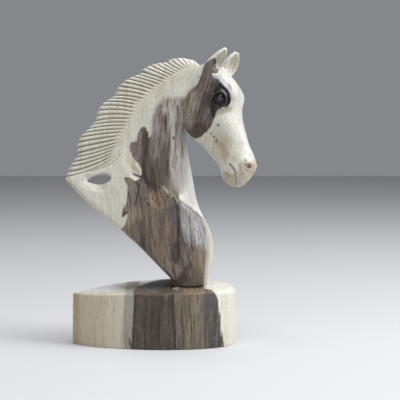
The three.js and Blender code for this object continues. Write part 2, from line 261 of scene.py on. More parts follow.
def neck_depth(x, y, z):
    """Depth inside the neck in mm: the square of its half thickness less the square of the distance
    from its middle plane, over that difference's slope."""
    names = ("square", "slope_x", "slope_z", "past", "sway")
    square, slope_x, slope_z, past, sway = (NECK[name](x, z) for name in names)
    off = y - sway
    depth = (square - off**2) / np.sqrt(slope_x**2 + slope_z**2 + 4 * off**2 + SLOPE_FLOOR)
    return np.minimum(np.minimum(depth, -past), z - NECK_ROOT)


# The hole: one pointed cut right through the fin under the last lock, opened with a gouge from
# outside, which leaves a dished bevel on its lower left.
HOLE = [
    (-44.2, 109.7), (-39.2, 113), (-33.5, 114.7), (-29.6, 113.7), (-28.2, 111.4), (-30.6, 108.5),
    (-35.5, 107.1), (-40.4, 107.9),
]
BEVEL_WIDTH, BEVEL_WIDEST, BEVEL_SLOPE = 0.8, 4.2, 0.36
HOLE_MIDDLE, HOLE_LEAN, HOLE_FADE, FAR = (-36, 110), -0.75, (-3, 6), 20
HOLE_LOW, HOLE_HIGH, HOLE_STEP = (-58.0, 96.0), (-16.0, 126.0), 0.25


def side_distance(x, z, start, end):
    """Square of the distance to a straight side: to its nearest point, which is where a square line
    from the point meets it, or else the nearer end."""
    (ax, az), (bx, bz) = start, end
    ex, ez = bx - ax, bz - az
    t = np.clip(((x - ax) * ex + (z - az) * ez) / (ex * ex + ez * ez + 1e-12), 0, 1)
    return (x - ax - t * ex) ** 2 + (z - az - t * ez) ** 2


def outline_depth(x, z, outline):
    """Distance in mm inside a closed outline, minus outside it: the least distance to its sides,
    with the sign from how often a line to the right crosses it."""
    corners = np.asarray(outline, float)
    best = np.full(x.shape, 1e9)
    inside = np.zeros(x.shape, bool)
    for (ax, az), (bx, bz) in zip(corners, np.roll(corners, -1, axis=0)):
        best = np.minimum(best, side_distance(x, z, (ax, az), (bx, bz)))
        if az != bz:
            inside ^= ((az > z) != (bz > z)) & (x < ax + (z - az) / (bz - az) * (bx - ax))
    return np.where(inside, 1, -1) * np.sqrt(best)


def rounded_outline(corners, steps=4):
    """A closed smooth outline through the corners."""
    n = len(corners)
    return along(list(corners) * 3, np.linspace(n, 2 * n, n * steps, endpoint=False))


def outline_map(outline, corner, far_corner, step):
    """Map of the depth inside an outline over a rectangle between two corners."""
    axes = [np.arange(low, high, step) for low, high in zip(corner, far_corner)]
    return sampler(*corner, step, outline_depth(*np.meshgrid(*axes, indexing="ij"), outline))


HOLE_MAP = outline_map(rounded_outline(HOLE), HOLE_LOW, HOLE_HIGH, HOLE_STEP)


def hole_cut(x, z, depth):
    """The neck's depth after the hole: kept only outside the hole's outline, and lowered towards it
    over a width that is greatest on the lower left."""
    (x0, z0), (x1, z1) = HOLE_LOW, HOLE_HIGH
    near = (x > x0 + 1) & (x < x1 - 1) & (z > z0 + 1) & (z < z1 - 1)
    outside = np.where(near, -HOLE_MAP(x, z), FAR)
    lower_left = smooth(HOLE_LEAN * (x - HOLE_MIDDLE[0]) - (z - HOLE_MIDDLE[1]), *HOLE_FADE)
    bevel = BEVEL_WIDTH + BEVEL_WIDEST * lower_left - np.maximum(outside, 0)
    return np.minimum(depth - BEVEL_SLOPE * np.maximum(bevel, 0), outside)


# The base: a slice of the same block, left thick under the foot. Its plan is pointed at one end and
# round at the other, its side is planed upright and its rim is eased with sandpaper.
BASE_HEIGHT, LEFT_DROP, DROP_FROM, DROP_TO = 36.0, 2.4, 12, 55
SWELL_X, SWELL_Y, SWELL_RISE, SWELL_SPREAD = 22.0, 8.0, 5.6, 25.0
BASE_TILT, BASE_FRONT_RIM = 0.03, -26.5
BASE_FRONT = [(-54.5, -2), (-39, -14.5), (-13, -24), (11, -26.5), (34, -22), (49, -12), (55, 1)]
BASE_BACK = [(55, 1), (53, 14), (42, 26), (19, 34.5), (-11, 33), (-36, 21), (-54.5, -2)]
BASE_FLARE = 0.35
RIM, RIGHT_RIM, RIGHT_FROM, RIGHT_TO, UNDER_RIM = 0.9, 3.0, 34, 54, 0.5
PLAN_LOW, PLAN_HIGH, PLAN_STEP = (-62.0, -34.0), (63.0, 43.0), 0.5

plan = [along(side, np.linspace(0, len(side) - 1, 60, endpoint=False)) for side in (BASE_FRONT, BASE_BACK)]
PLAN_MAP = outline_map(np.concatenate(plan), PLAN_LOW, PLAN_HIGH, PLAN_STEP)


def rounded_corner(a, b, radius):
    """Depth inside two faces that meet in a rounded edge: within the radius of both, what is left
    of the radius after the distance to its centre; elsewhere the lesser depth."""
    u, v = np.maximum(radius - a, 0), np.maximum(radius - b, 0)
    return np.where((u > 0) | (v > 0), radius - np.hypot(u, v), np.minimum(a, b))


def base_top(x, y):
    """Height of the base's top: it tilts up to the back, drops to the point and swells round the foot."""
    swell = SWELL_RISE * np.exp(-((x - SWELL_X) ** 2 + (y - SWELL_Y) ** 2) / SWELL_SPREAD**2)
    drop = LEFT_DROP * smooth(-x, DROP_FROM, DROP_TO)
    return BASE_HEIGHT - drop + BASE_TILT * (y - BASE_FRONT_RIM) + swell


def base_depth(x, y, z):
    """Depth inside the base: inside its plan and under its top, with the rim rounder at the right."""
    side = PLAN_MAP(x, y) + BASE_FLARE * (1 - np.clip(z / BASE_HEIGHT, 0, 1))
    rim = RIM + RIGHT_RIM * smooth(x, RIGHT_FROM, RIGHT_TO)
    return rounded_corner(rounded_corner(side, base_top(x, y) - z, rim), z, UNDER_RIM)


# The head: turned to the horse's right and carved all round. Its frame has x out of the face, y to
# the horse's left and z up, with the poll at z = 0; lists run from the poll down to the lips.
HEAD_AT = (39.5, -5, 183.7)
HEAD_PITCH, HEAD_TURN, TURN_LEAN = np.radians([14.3, 22, 20])
# Height, the face's and the jaw's reach forward, and the half width.
HEAD_Z = [4.4, 2.4, 0, -6, -14, -20, -28, -36, -42, -48, -56, -63, -69, -73, -77, -80, -81.2]
FACE = [-2, 2.2, 5.4, 9.4, 13.2, 14.2, 13.2, 11.8, 11.5, 11.9, 12.4, 13.8, 13.8, 12, 8, 3.8, 1.2]
JAW = [
    -6, -10, -14, -21, -26.5, -28.4, -28.6, -26.6, -23.4, -18.8, -14.2, -10.8, -9.6, -9.5, -7.2, -3.6, -0.4,
]
HALF_WIDTH = [3, 7.5, 10.2, 12.4, 13, 12.8, 11.6, 10, 8.8, 7.9, 7.5, 8, 8.6, 8, 5.7, 3, 0.6]
UPPER_BIAS = 0.16
BOXINESS, LEAST_HALF, LEAST_CHANGE = 2.5, 0.3, 0.04
# Low rises and hollows on both sides: centre x and z, height and spread in mm.
HEAD_FORMS = {
    "brow": (9.2, -21.5, 3.2, 5.4), "cheek": (-19, -27, 3.2, 11.0), "eye_hollow": (0.5, -31, -1.2, 4.5),
    "temple": (0.0, -14, -0.9, 5.0), "cheekbone": (4.5, -39, 1.3, 5.6),
    "jaw_hollow": (-5.0, -50, -1.8, 6.4),
    "nostril_wing": (10.2, -68, 1.0, 4.0), "nose_side": (8.0, -57, -1.2, 5.0),
    "upper_lip": (6.0, -75.5, 0.7, 4.0), "lower_lip": (-3.8, -73.5, 1.3, 4.0),
    "chin_groove": (-7.5, -65, -0.9, 3.0),
}
BROW_AT, BROW_RISE, BROW_SPREAD = (12.2, 7.6, -23.2), 2.1, 4.8
EYE_AT, EYE_SIZE = (4.3, 11.9, -23.1), (2.8, 2.5, 2.8)
# The opening round the eyeball: how far its middle is shifted from the ball's, its stretch, its depth
# and the distances over which it ends.
OPENING = {"shift": (0.6, 0.4), "stretch": 1.2, "depth": 1.7, "edge": (2.9, 4.0)}
NOSTRIL_AT, NOSTRIL_SIZE = (11.2, 7.6, -70.8), (2.0, 3.2, 1.8)
FLANK_FROM, LIPS_FROM, EYE_SEAM, EAR_SEAM = (2.5, 5), (60, 63), 0.12, 1.6
EARS = {
    "right": {"root": (-0.6, -7.4, -3), "tip": (14.3, -8.6, 8.5), "turn": 38,
              "wide": [5.6, 5.4, 5, 4.2, 3, 1.2], "deep": [6.2, 5.6, 4.8, 4, 2.8, 1.2]},
    "left": {"root": (4, 7.4, -5.8), "tip": (16, 8.6, 8.4), "turn": 44,
             "wide": [4, 4.5, 5, 4.8, 3.7, 1.8], "deep": [4, 4.4, 4.8, 4.6, 3.6, 1.7]},
}
# The hollow of an ear: its middle and half length as shares of the ear's, its place and reach as
# shares of the ear's depth and width, and the low ridge down it.
SPOON = {"middle": 0.56, "half": 0.43, "front": 0.95, "deep": 1.2, "wide": 0.8}
SPOON_RIDGE, RIDGE_AT, RIDGE_WIDTH = 0.5, 0.2, 0.8
EAR_TIP, EAR_ROOT, EAR_RIM = 0.8, 6, 0.4
HEAD_FRAME = (
    Matrix.Rotation(-HEAD_TURN, 3, Vector((np.sin(TURN_LEAN), 0, np.cos(TURN_LEAN))))
    @ Matrix.Rotation(-HEAD_PITCH, 3, "Y")
)
HEAD_TURNED = np.array(HEAD_FRAME)
HEAD_STEPS = np.linspace(0, len(HEAD_Z) - 1, 400)
PROFILE_Z = along(HEAD_Z, HEAD_STEPS)[::-1]
PROFILE = [along(values, HEAD_STEPS)[::-1] for values in (FACE, JAW, HALF_WIDTH)]


def pixel_of(x, y, z):
    """Pixel of the view where each point in mm falls: its offsets across and up from the line of
    sight, over its depth along that line, times the lens."""
    up = y * np.sin(LOOK_DOWN) + (z - AIM[2]) * np.cos(LOOK_DOWN)
    depth = DISTANCE + y * np.cos(LOOK_DOWN) - (z - AIM[2]) * np.sin(LOOK_DOWN)
    scale = LENS / SENSOR * VIEW_WIDTH / depth
    return VIEW_WIDTH / 2 + (x - AIM[0]) * scale, VIEW_WIDTH / 2 - up * scale


def to_head(x, y, z):
    """The same point in the head's own frame."""
    rel = [x - HEAD_AT[0], y - HEAD_AT[1], z - HEAD_AT[2]]
    return [sum(HEAD_TURNED[i, k] * rel[i] for i in range(3)) for k in range(3)]


def head_pixel(hx, hy, hz):
    """Pixel of a point of the head, or of its mirror point where it is on the far side."""
    near = (hx, -np.abs(hy), hz)
    return pixel_of(*(HEAD_AT[i] + sum(HEAD_TURNED[i, k] * near[k] for k in range(3)) for i in range(3)))


def joined(a, b, blend):
    """Depth inside either of two forms, filleted where they meet: the greater depth, and a little
    more where the two are within the blend of each other."""
    near = np.clip(1 - np.abs(a - b) / blend, 0, 1)
    return np.maximum(a, b) + 0.25 * blend * near**2


def egg_depth(x, y, z, at, size):
    """Depth inside an egg: one less the scaled distance from its centre, times its least radius."""
    reach = sum(((v - c) / r) ** 2 for v, c, r in zip((x, y, z), at, size))
    return (1 - np.sqrt(reach)) * min(size)


def line_distance(x, z, line):
    """Distance to an open line of straight parts: the least of the distances to them."""
    best = np.full(x.shape, 1e9)
    for start, end in zip(line[:-1], line[1:]):
        best = np.minimum(best, side_distance(x, z, start, end))
    return np.sqrt(best)


def strokes_map(x0, y0, x1, y1, strokes):
    """Map in view pixels of the tool's strokes: each adds its height in mm, times a bell of the
    distance from its line over its half width."""
    step = 0.25
    X, Y = np.meshgrid(np.arange(x0, x1, step), np.arange(y0, y1, step), indexing="ij")
    total = np.zeros(X.shape)
    for height, width, line in strokes:
        curve = along(line, np.linspace(0, len(line) - 1, 3 * len(line) - 2)) if len(line) > 2 else line
        total += height * np.exp(-((line_distance(X, Y, curve) / width) ** 2))
    return sampler(x0, y0, step, total)


# Strokes of the knife on the head, as height, half width and line in view pixels: lids and folds of
# the eye, brow ridge, nostril, mouth, jaw and ears.
HEAD_STROKES = [
    (1.0, 0.9, [
        (212.7, 97.6), (214.2, 94.4), (217, 92.4), (220.4, 91.6), (223.6, 92.8), (225.9, 96.4),
        (226.4, 101), (225.4, 104.6),
    ]),
    (-0.85, 0.8, [
        (213.4, 92), (216.6, 89), (221, 87.8), (225, 89.4), (228, 93.4), (229, 98.4), (228.4, 103.4),
        (226.4, 107),
    ]),
    (0.75, 1.3, [(219.5, 82.5), (224.2, 85.6), (228.6, 90.2), (231.2, 96), (231, 102), (228.4, 106.4)]),
    (0.8, 0.8, [(212.9, 101), (214.8, 104.4), (218.4, 106.2), (222.6, 106)]),
    (-0.5, 0.8, [(213.6, 106.6), (217.2, 108.8), (221.8, 109.2), (226.6, 108)]),
    (-0.8, 0.75, [(212.6, 103), (212.9, 107.6), (214.2, 113.5), (213.6, 117.5)]),
    (-0.4, 0.8, [(210.4, 99), (210, 106), (211.2, 115)]),
    (0.45, 1.6, [(211, 73.5), (216.5, 76.5), (221.5, 81), (226.5, 86.5), (231, 92.5), (233.5, 99)]),
    (-0.45, 1.1, [(206, 71), (211, 73), (216.5, 72.5), (219.8, 71)]),
    (0.55, 0.9, [(246.2, 166.5), (247.2, 163.4), (250, 162.2), (252.9, 163.8), (253.6, 167), (252.4, 170)]),
    (-0.6, 1.1, [(245, 161), (243.9, 165), (245.2, 170), (249, 173)]),
    (-1.15, 0.75, [(229.2, 163.8), (233.4, 168.8), (235.4, 174.5), (236.6, 181), (237.2, 190)]),
    (0.4, 1.2, [(231.8, 163.2), (236.2, 168), (238.6, 175), (239.8, 182)]),
    (-0.5, 1.3, [(223.4, 160), (226.2, 166), (226.6, 173)]),
    (-0.5, 1.2, [(225.8, 172.6), (229.6, 176.8), (233.4, 178)]),
    (-0.4, 1.6, [(240.5, 176), (243.5, 178.5), (244.6, 183)]),
    (-0.3, 0.9, [(201, 141.6), (208, 150.5), (215, 160), (219.6, 166)]),
    (-0.35, 1.6, [(214.5, 137), (220, 145), (222.6, 152)]),
]
HEAD_RELIEF = strokes_map(170.0, 40.0, 264.0, 196.0, HEAD_STROKES)


def ear_depth(x, y, z, ear):
    """Depth inside one ear: a leaf whose half width and half depth follow its lists from root to
    tip, less a spoon-shaped hollow on its open side."""
    root, tip = np.array(ear["root"], float), np.array(ear["tip"], float)
    up = tip - root
    length = np.linalg.norm(up)
    up = up / length
    ahead = np.array([up[2], 0, -up[0]])
    ahead = ahead / np.linalg.norm(ahead)
    turn = -np.radians(ear["turn"])
    ahead = ahead * np.cos(turn) + np.cross(up, ahead) * np.sin(turn)
    across = np.cross(up, ahead)
    rel = [x - root[0], y - root[1], z - root[2]]
    a, c, t = (sum(r * v for r, v in zip(rel, axis)) for axis in (ahead, across, up))
    share = t / length
    deep, wide = along(ear["deep"], 5 * share), along(ear["wide"], 5 * share)
    leaf = (1 - np.sqrt((a / deep) ** 2 + (c / wide) ** 2)) * np.minimum(deep, wide)
    leaf = np.minimum(rounded_corner(leaf, (1.0 - share) * length, EAR_TIP), t + EAR_ROOT)
    shrink = np.sqrt(np.clip(1 - ((share - SPOON["middle"]) / SPOON["half"]) ** 2, 1e-4, 1))
    reach = SPOON["wide"] * wide * shrink
    spoon = np.hypot((a - SPOON["front"] * deep) / (SPOON["deep"] * deep * shrink), c / reach)
    ridge = SPOON_RIDGE * np.exp(-(((c - RIDGE_AT * wide) / RIDGE_WIDTH) ** 2))
    spoon = (1 - spoon) * SPOON["wide"] * wide * shrink - ridge
    return -joined(-leaf, spoon, EAR_RIM)


def head_depth(x, y, z):
    """Depth inside the head: across it a section between an ellipse and a box, fitted between face
    and jaw, plus the low forms and the strokes; then eyeballs and ears are joined on."""
    left = np.abs(y)
    zc = np.clip(z, PROFILE_Z[0], PROFILE_Z[-1])
    face, jaw, width = (np.interp(zc, PROFILE_Z, values) for values in PROFILE)
    half = np.maximum((face - jaw) / 2, LEAST_HALF)
    u = (x - (face + jaw) / 2) / half
    forms = sum(h * np.exp(-((x - fx) ** 2 + (z - fz) ** 2) / s**2) for fx, fz, h, s in HEAD_FORMS.values())
    flare = width * (1 + UPPER_BIAS * np.clip(u, -1, 1)) + forms
    wide = np.maximum(flare, LEAST_HALF)
    v = left / wide
    q = BOXINESS
    reach = (np.abs(u) ** q + v**q) ** (1 / q) + 1e-9
    slope = np.hypot((np.abs(u / reach)) ** (q - 1) / half, (v / reach) ** (q - 1) / wide)
    depth = (1 - reach) / np.maximum(slope, LEAST_CHANGE)
    depth = np.minimum(depth, np.minimum(z - PROFILE_Z[0], PROFILE_Z[-1] - z))

    bx, by, bz = BROW_AT
    depth = depth + BROW_RISE * np.exp(-((x - bx) ** 2 + (left - by) ** 2 + (z - bz) ** 2) / BROW_SPREAD**2)

    ex, _, ez = EYE_AT
    shift_x, shift_z = OPENING["shift"]
    opening = np.hypot((x - ex + shift_x) / OPENING["stretch"], z - ez + shift_z)
    px, py = head_pixel(x, y, z)
    flank = smooth(left, *FLANK_FROM)
    depth = depth + HEAD_RELIEF(px, py) * np.maximum(flank, smooth(-z, *LIPS_FROM))
    depth = depth - OPENING["depth"] * (1 - smooth(opening, *OPENING["edge"])) * flank
    depth = joined(depth, egg_depth(x, left, z, EYE_AT, EYE_SIZE), EYE_SEAM)
    depth = np.minimum(depth, -egg_depth(x, left, z, NOSTRIL_AT, NOSTRIL_SIZE))
    for ear in EARS.values():
        depth = joined(depth, ear_depth(x, y, z, ear), EAR_SEAM)
    return depth


# The finished block: the forms meet in carved creases, and the last work with knife and gouge leaves
# a scar, pits and a stop-cut round the foot, all on the side that faces out of the view.
FOOT_FILLET, RIGHT_FILLET, FILLET_FROM, FILLET_TO = 2.4, 3.0, 25, 38
THROAT_CREASE, TOOL_FLATS, HEAD_SHARE = 2.2, 0.12, 0.5
HEAD_REACH, FAR_OUTSIDE = (45, 30, -90, 18), -30.0
PITS = [
    (146.7, 203.3), (148.8, 205.3), (152.3, 198.7), (154.9, 201.2), (158, 206.3), (162, 197), (165, 200.2),
    (167.2, 197), (164, 202.4), (159.4, 203.6), (154.9, 209.4), (154.4, 215.6), (155.6, 212.2),
    (145.7, 198.2),
    (170, 194.5), (160.5, 193.4),
]
NECK_STROKES = [
    (-0.7, 2.2, [(179.4, 108), (180.4, 116), (183.4, 124.5), (187.6, 132), (191, 137)]),
    (0.7, 2.6, [(136, 166.5), (139, 169.5), (140.4, 173.5)]),
    (-0.9, 1.0, [(133.6, 174.4), (137.6, 176), (141.2, 177)]),
    (0.65, 1.1, [(130.6, 177.6), (134.6, 179.6), (138.6, 183.4)]),
    (-0.5, 1.0, [(138.8, 184.6), (137.6, 193), (134.6, 205)]),
    (-0.5, 1.6, [(142.8, 165), (142.8, 174), (146.6, 182), (150.4, 188)]),
    (-0.6, 1.2, [(123, 215.6), (125.4, 213.6), (126.6, 212)]),
    (-0.75, 0.85, [
        (89.9, 171.9), (97.3, 169.7), (108, 165.2), (113.3, 162.5), (117.1, 158.5), (119.2, 155.3),
    ]),
    (-0.5, 0.8, [(70.7, 173.7), (76, 171.3), (84, 170)]),
    (-0.45, 0.8, [(178.9, 218), (178.2, 232), (177.4, 243)]),
    (-0.9, 0.8, [(180.5, 286.8), (188, 287.2), (195, 287.2), (201.5, 286.4)]),
    (0.75, 1.3, [(173.4, 288.6), (178.8, 288), (184.6, 289.2)]),
    (-0.6, 0.8, [(170.6, 287.4), (177, 286.2), (183.6, 287), (187.6, 289.4)]),
    (-0.5, 0.7, [(172.4, 296), (172.2, 312), (174.2, 330), (174.9, 352)]),
] + [(-0.45, 0.9, [pit, (pit[0] + 0.3, pit[1] + 0.2)]) for pit in PITS]
NECK_RELIEF = strokes_map(60.0, 60.0, 240.0, 356.0, NECK_STROKES)


def gouge_flats(x, y, z):
    """Faint flats from -1 to 1: two waves of 26 and 40 mm, each swung by a slower one, multiplied."""
    return np.sin(x / 4.1 + 1.3 * np.sin(z / 9.0)) * np.sin(z / 6.3 + y / 5.0 + 1.1 * np.sin(x / 7.0))


def carved_depth(x, y, z):
    """Depth inside the whole carving: base and neck meet in a fillet, the head in a crease, and the
    strokes and the gouge's faint flats are added."""
    px, py = pixel_of(x, y, z)
    flats = gouge_flats(x, y, z)
    neck = hole_cut(x, z, neck_depth(x, y, z))
    neck = neck + TOOL_FLATS * flats * (1 - NECK["valley"](x, z))
    fillet = FOOT_FILLET + RIGHT_FILLET * smooth(x, FILLET_FROM, FILLET_TO)
    depth = joined(neck, base_depth(x, y, z), fillet)
    depth = depth + NECK_RELIEF(px, py) * (y < 0)
    hx, hy, hz = to_head(x, y, z)
    across, aside, low, high = HEAD_REACH
    near = (hz < high) & (hz > low) & (np.abs(hx) < across) & (np.abs(hy) < aside)
    head = np.full(x.shape, FAR_OUTSIDE)
    head[near] = head_depth(hx[near], hy[near], hz[near]) + HEAD_SHARE * TOOL_FLATS * flats[near]
    return joined(depth, head, THROAT_CREASE)


# The skin: one closed mesh where that depth is zero. Cells near it are found on a coarse grid and
# split, and each one that the skin crosses gets a corner, which is then drawn onto the skin itself.
COARSE, SPLIT = 2.0, 5
LOW, HIGH = np.array([-63.0, -36.0, -2.0]), np.array([73.0, 40.0, 202.0])
SKIN_TRIANGLES = 194000
NEAR_CELLS, BATCH, PROBE, LEAST_SLOPE, LONGEST_STEP = 1.4, 1500000, 0.1, 0.05, 0.5


def skin_cells():
    """Fine cells near the skin, with the depth at their nodes: those in each coarse cell whose
    corners' depths are not all well inside or all well outside."""
    counts = np.ceil((HIGH - LOW) / COARSE).astype(int)
    axes = [LOW[k] + COARSE * np.arange(counts[k] + 1) for k in range(3)]
    nodes = np.meshgrid(*axes, indexing="ij")
    depth = carved_depth(*(n.ravel() for n in nodes)).reshape(nodes[0].shape)
    corners = [
        depth[i:i + counts[0], j:j + counts[1], k:k + counts[2]]
        for i in (0, 1) for j in (0, 1) for k in (0, 1)
    ]
    low, high = np.min(corners, axis=0), np.max(corners, axis=0)
    blocks = np.argwhere((low < NEAR_CELLS * COARSE) & (high > -NEAR_CELLS * COARSE))
    step = np.arange(SPLIT + 1)
    local = np.stack(np.meshgrid(step, step, step, indexing="ij"), -1)
    where = blocks[:, None, None, None, :] * SPLIT + local
    fine = COARSE / SPLIT
    flat = where.reshape(-1, 3)
    values = np.empty(len(flat), np.float32)
    for part in np.array_split(np.arange(len(flat)), max(1, len(flat) // BATCH)):
        values[part] = carved_depth(*(LOW[k] + fine * flat[part, k] for k in range(3)))
    return where, values.reshape(where.shape[:4]), counts * SPLIT


def skin_mesh():
    """Corners and four-sided faces of the skin: a cell's corner is the mean of the points where its
    edges cross zero, and each crossed edge joins the four cells round it."""
    where, values, counts = skin_cells()
    s = SPLIT
    inside = values > 0
    edges = [((0, j, k), (1, j, k)) for j in (0, 1) for k in (0, 1)]
    edges += [((j, 0, k), (j, 1, k)) for j in (0, 1) for k in (0, 1)]
    edges += [((j, k, 0), (j, k, 1)) for j in (0, 1) for k in (0, 1)]

    def corner(grid, at):
        """The grid's values at one corner of each fine cell."""
        return grid[:, at[0]:at[0] + s, at[1]:at[1] + s, at[2]:at[2] + s]

    count = sum(corner(inside, (i, j, k)).astype(np.int8) for i in (0, 1) for j in (0, 1) for k in (0, 1))
    crossed = (count > 0) & (count < 8)
    cell = corner(where, (0, 0, 0))[crossed]
    key = (cell[:, 0] * counts[1] + cell[:, 1]) * counts[2] + cell[:, 2]
    total = np.zeros((len(cell), 3))
    hits = np.zeros(len(cell))
    for a, b in edges:
        va, vb = corner(values, a)[crossed], corner(values, b)[crossed]
        cut = (va > 0) != (vb > 0)
        t = np.where(cut, va / np.where(cut, va - vb, 1), 0)
        total += np.where(cut[:, None], np.array(a) + t[:, None] * (np.array(b) - np.array(a)), 0)
        hits += cut
    points = LOW + COARSE / SPLIT * (cell + total / hits[:, None])
    order = np.argsort(key)
    key, points, cell = key[order], points[order], cell[order]
    inner = corner(inside, (0, 0, 0))[crossed][order]
    faces = []
    stride = np.array([counts[1] * counts[2], counts[2], 1])
    for axis, (one, two) in enumerate(((1, 2), (2, 0), (0, 1))):
        at = [0, 0, 0]
        at[axis] = 1
        other = corner(inside, tuple(at))[crossed][order]
        cut = np.nonzero((inner != other) & (cell[:, one] > 0) & (cell[:, two] > 0))[0]
        here, back_one, back_two = key[cut], stride[one], stride[two]
        around = [here - back_one - back_two, here - back_two, here, here - back_one]
        ring = np.stack([np.searchsorted(key, k) for k in around], 1)
        flip = ~inner[cut]
        ring[flip] = ring[flip][:, ::-1]
        faces.append(ring)
    return points, np.concatenate(faces)


def drawn_to_skin(points, rounds):
    """Points moved onto the skin: each step goes down the depth's slope, found from its change over
    a short probe, by the depth over the slope, and never more than half a millimetre."""
    for _ in range(rounds):
        x, y, z = points.T
        depth = carved_depth(x, y, z)
        h = PROBE
        ahead = carved_depth(x + h, y, z), carved_depth(x, y + h, z), carved_depth(x, y, z + h)
        slope = (np.stack(ahead, 1) - depth[:, None]) / h
        step = -slope * (depth / np.maximum((slope**2).sum(1), LEAST_SLOPE))[:, None]
        size = np.linalg.norm(step, axis=1, keepdims=True)
        points = points + step * np.minimum(1, LONGEST_STEP / np.maximum(size, 1e-9))
    return points


def mesh_from(name, points, faces):
    """A mesh with these corners, in mm, and faces that all have the same number of corners."""
    mesh = bpy.data.meshes.new(name)
    mesh.vertices.add(len(points))
    mesh.vertices.foreach_set("co", (points * MM).astype(np.float32).ravel())
    mesh.loops.add(faces.size)
    mesh.loops.foreach_set("vertex_index", faces.astype(np.int32).ravel())
    mesh.polygons.add(len(faces))
    mesh.polygons.foreach_set("loop_start", (np.arange(len(faces)) * faces.shape[1]).astype(np.int32))
    mesh.update(calc_edges=True)
    mesh.validate()
    return mesh


def draw_shared_edges_together(mesh, rounds=4):
    """Where two stretches of skin pass through one cell they are left sharing a tiny edge. Each edge
    that hasn't exactly two faces is drawn together to a point, which parts them."""
    work = bmesh.new()
    work.from_mesh(mesh)
    for _ in range(rounds):
        shared = [edge for edge in work.edges if len(edge.link_faces) != 2]
        if shared:
            bmesh.ops.collapse(work, edges=shared)
    print("shared edges left", sum(len(edge.link_faces) != 2 for edge in work.edges))
    work.to_mesh(mesh)
    work.free()


points, quads = skin_mesh()
horse = in_scene("carved_horse_head", mesh_from("skin", drawn_to_skin(points, 2), quads))
thin = horse.modifiers.new("thin", "DECIMATE")
thin.ratio = SKIN_TRIANGLES / (2 * len(quads))
thin.use_collapse_triangulate = True
thinned = bpy.data.meshes.new_from_object(horse.evaluated_get(bpy.context.evaluated_depsgraph_get()))
horse.modifiers.remove(thin)
draw_shared_edges_together(thinned)
corners = np.empty(len(thinned.vertices) * 3, np.float32)
thinned.vertices.foreach_get("co", corners)
corners = drawn_to_skin(corners.reshape(-1, 3).astype(float) / MM, 1)
corners[:, 2] = np.maximum(corners[:, 2], 0)
thinned.vertices.foreach_set("co", (corners * MM).astype(np.float32).ravel())
thinned.polygons.foreach_set("use_smooth", np.ones(len(thinned.polygons), bool))
thinned.update()
horse.data = thinned
thinned.name = "carved_horse_head"
print("skin", len(points), "corners;", len(thinned.polygons), "triangles kept")
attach(horse, "root")
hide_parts("horse_head_carving")

# The wood's figure: brown-grey heartwood, stains and veins run upright through the block, and a few
# lines of painted shade lie in knife cuts. Each is an outline or a line in view pixels, and the far
# side carries the same marks.
SAP, HEART = "#CDCABC", "#6A5F54"
HEART_NECK = [
    (184, 98), (172, 97), (165, 98), (158, 104), (153.5, 115), (152, 130), (149.3, 138), (147.5, 131),
    (144, 126.3), (140.5, 128.5), (137.5, 134), (135.5, 141.5), (130.5, 142.5), (129.5, 148), (132, 155),
    (135, 160), (138.5, 164.5), (141.5, 170), (140, 177), (135, 181), (130, 178), (123.5, 177),
    (126.5, 184), (127.5, 193), (126, 203), (123, 209), (121.5, 218), (126, 214), (127.5, 218),
    (124, 226), (120, 236), (150, 268), (168, 292), (202.5, 292), (205.5, 280), (207.5, 262),
    (208.8, 244), (206.5, 229), (201.5, 217.5), (196, 211.5), (189, 206), (183, 201.6), (179, 197.6),
    (184, 180), (184, 160), (187, 140), (189, 128), (187, 112),
]
HEART_BASE = [
    (133.6, 352), (133.4, 320), (133.4, 292.5), (136, 288), (143, 284.5), (152, 281.5), (160, 279),
    (176, 276), (196, 276), (203, 282), (207, 287.5), (213, 291), (217, 296), (219, 304), (220.4, 320),
    (220, 335), (217.8, 352),
]
CHEEK = [
    (205, 63.5), (209.5, 60), (214.5, 57.5), (216.3, 60), (216, 66), (219, 69.5), (217, 73), (212, 74),
    (215, 78), (220, 80.5), (224, 85.5), (227.5, 90), (230.5, 97), (229.5, 103), (222, 107.5),
    (217.5, 110.5), (215.5, 117), (212, 124), (207.5, 131), (202, 136), (197, 138.5), (189, 137),
    (181, 127), (177, 116), (176, 104), (181, 96), (189, 90.5), (194.5, 87), (199.5, 80), (202.6, 71),
]
STAIN = [
    (220, 82), (216.4, 86.5), (213, 94), (210.4, 103), (210, 111), (211.8, 119), (213.4, 119.5),
    (215.6, 112.5), (218, 109), (222, 107.6), (227, 106.6), (230.2, 102.5), (230.4, 97.5), (227.6, 91.5),
    (223.6, 86),
]
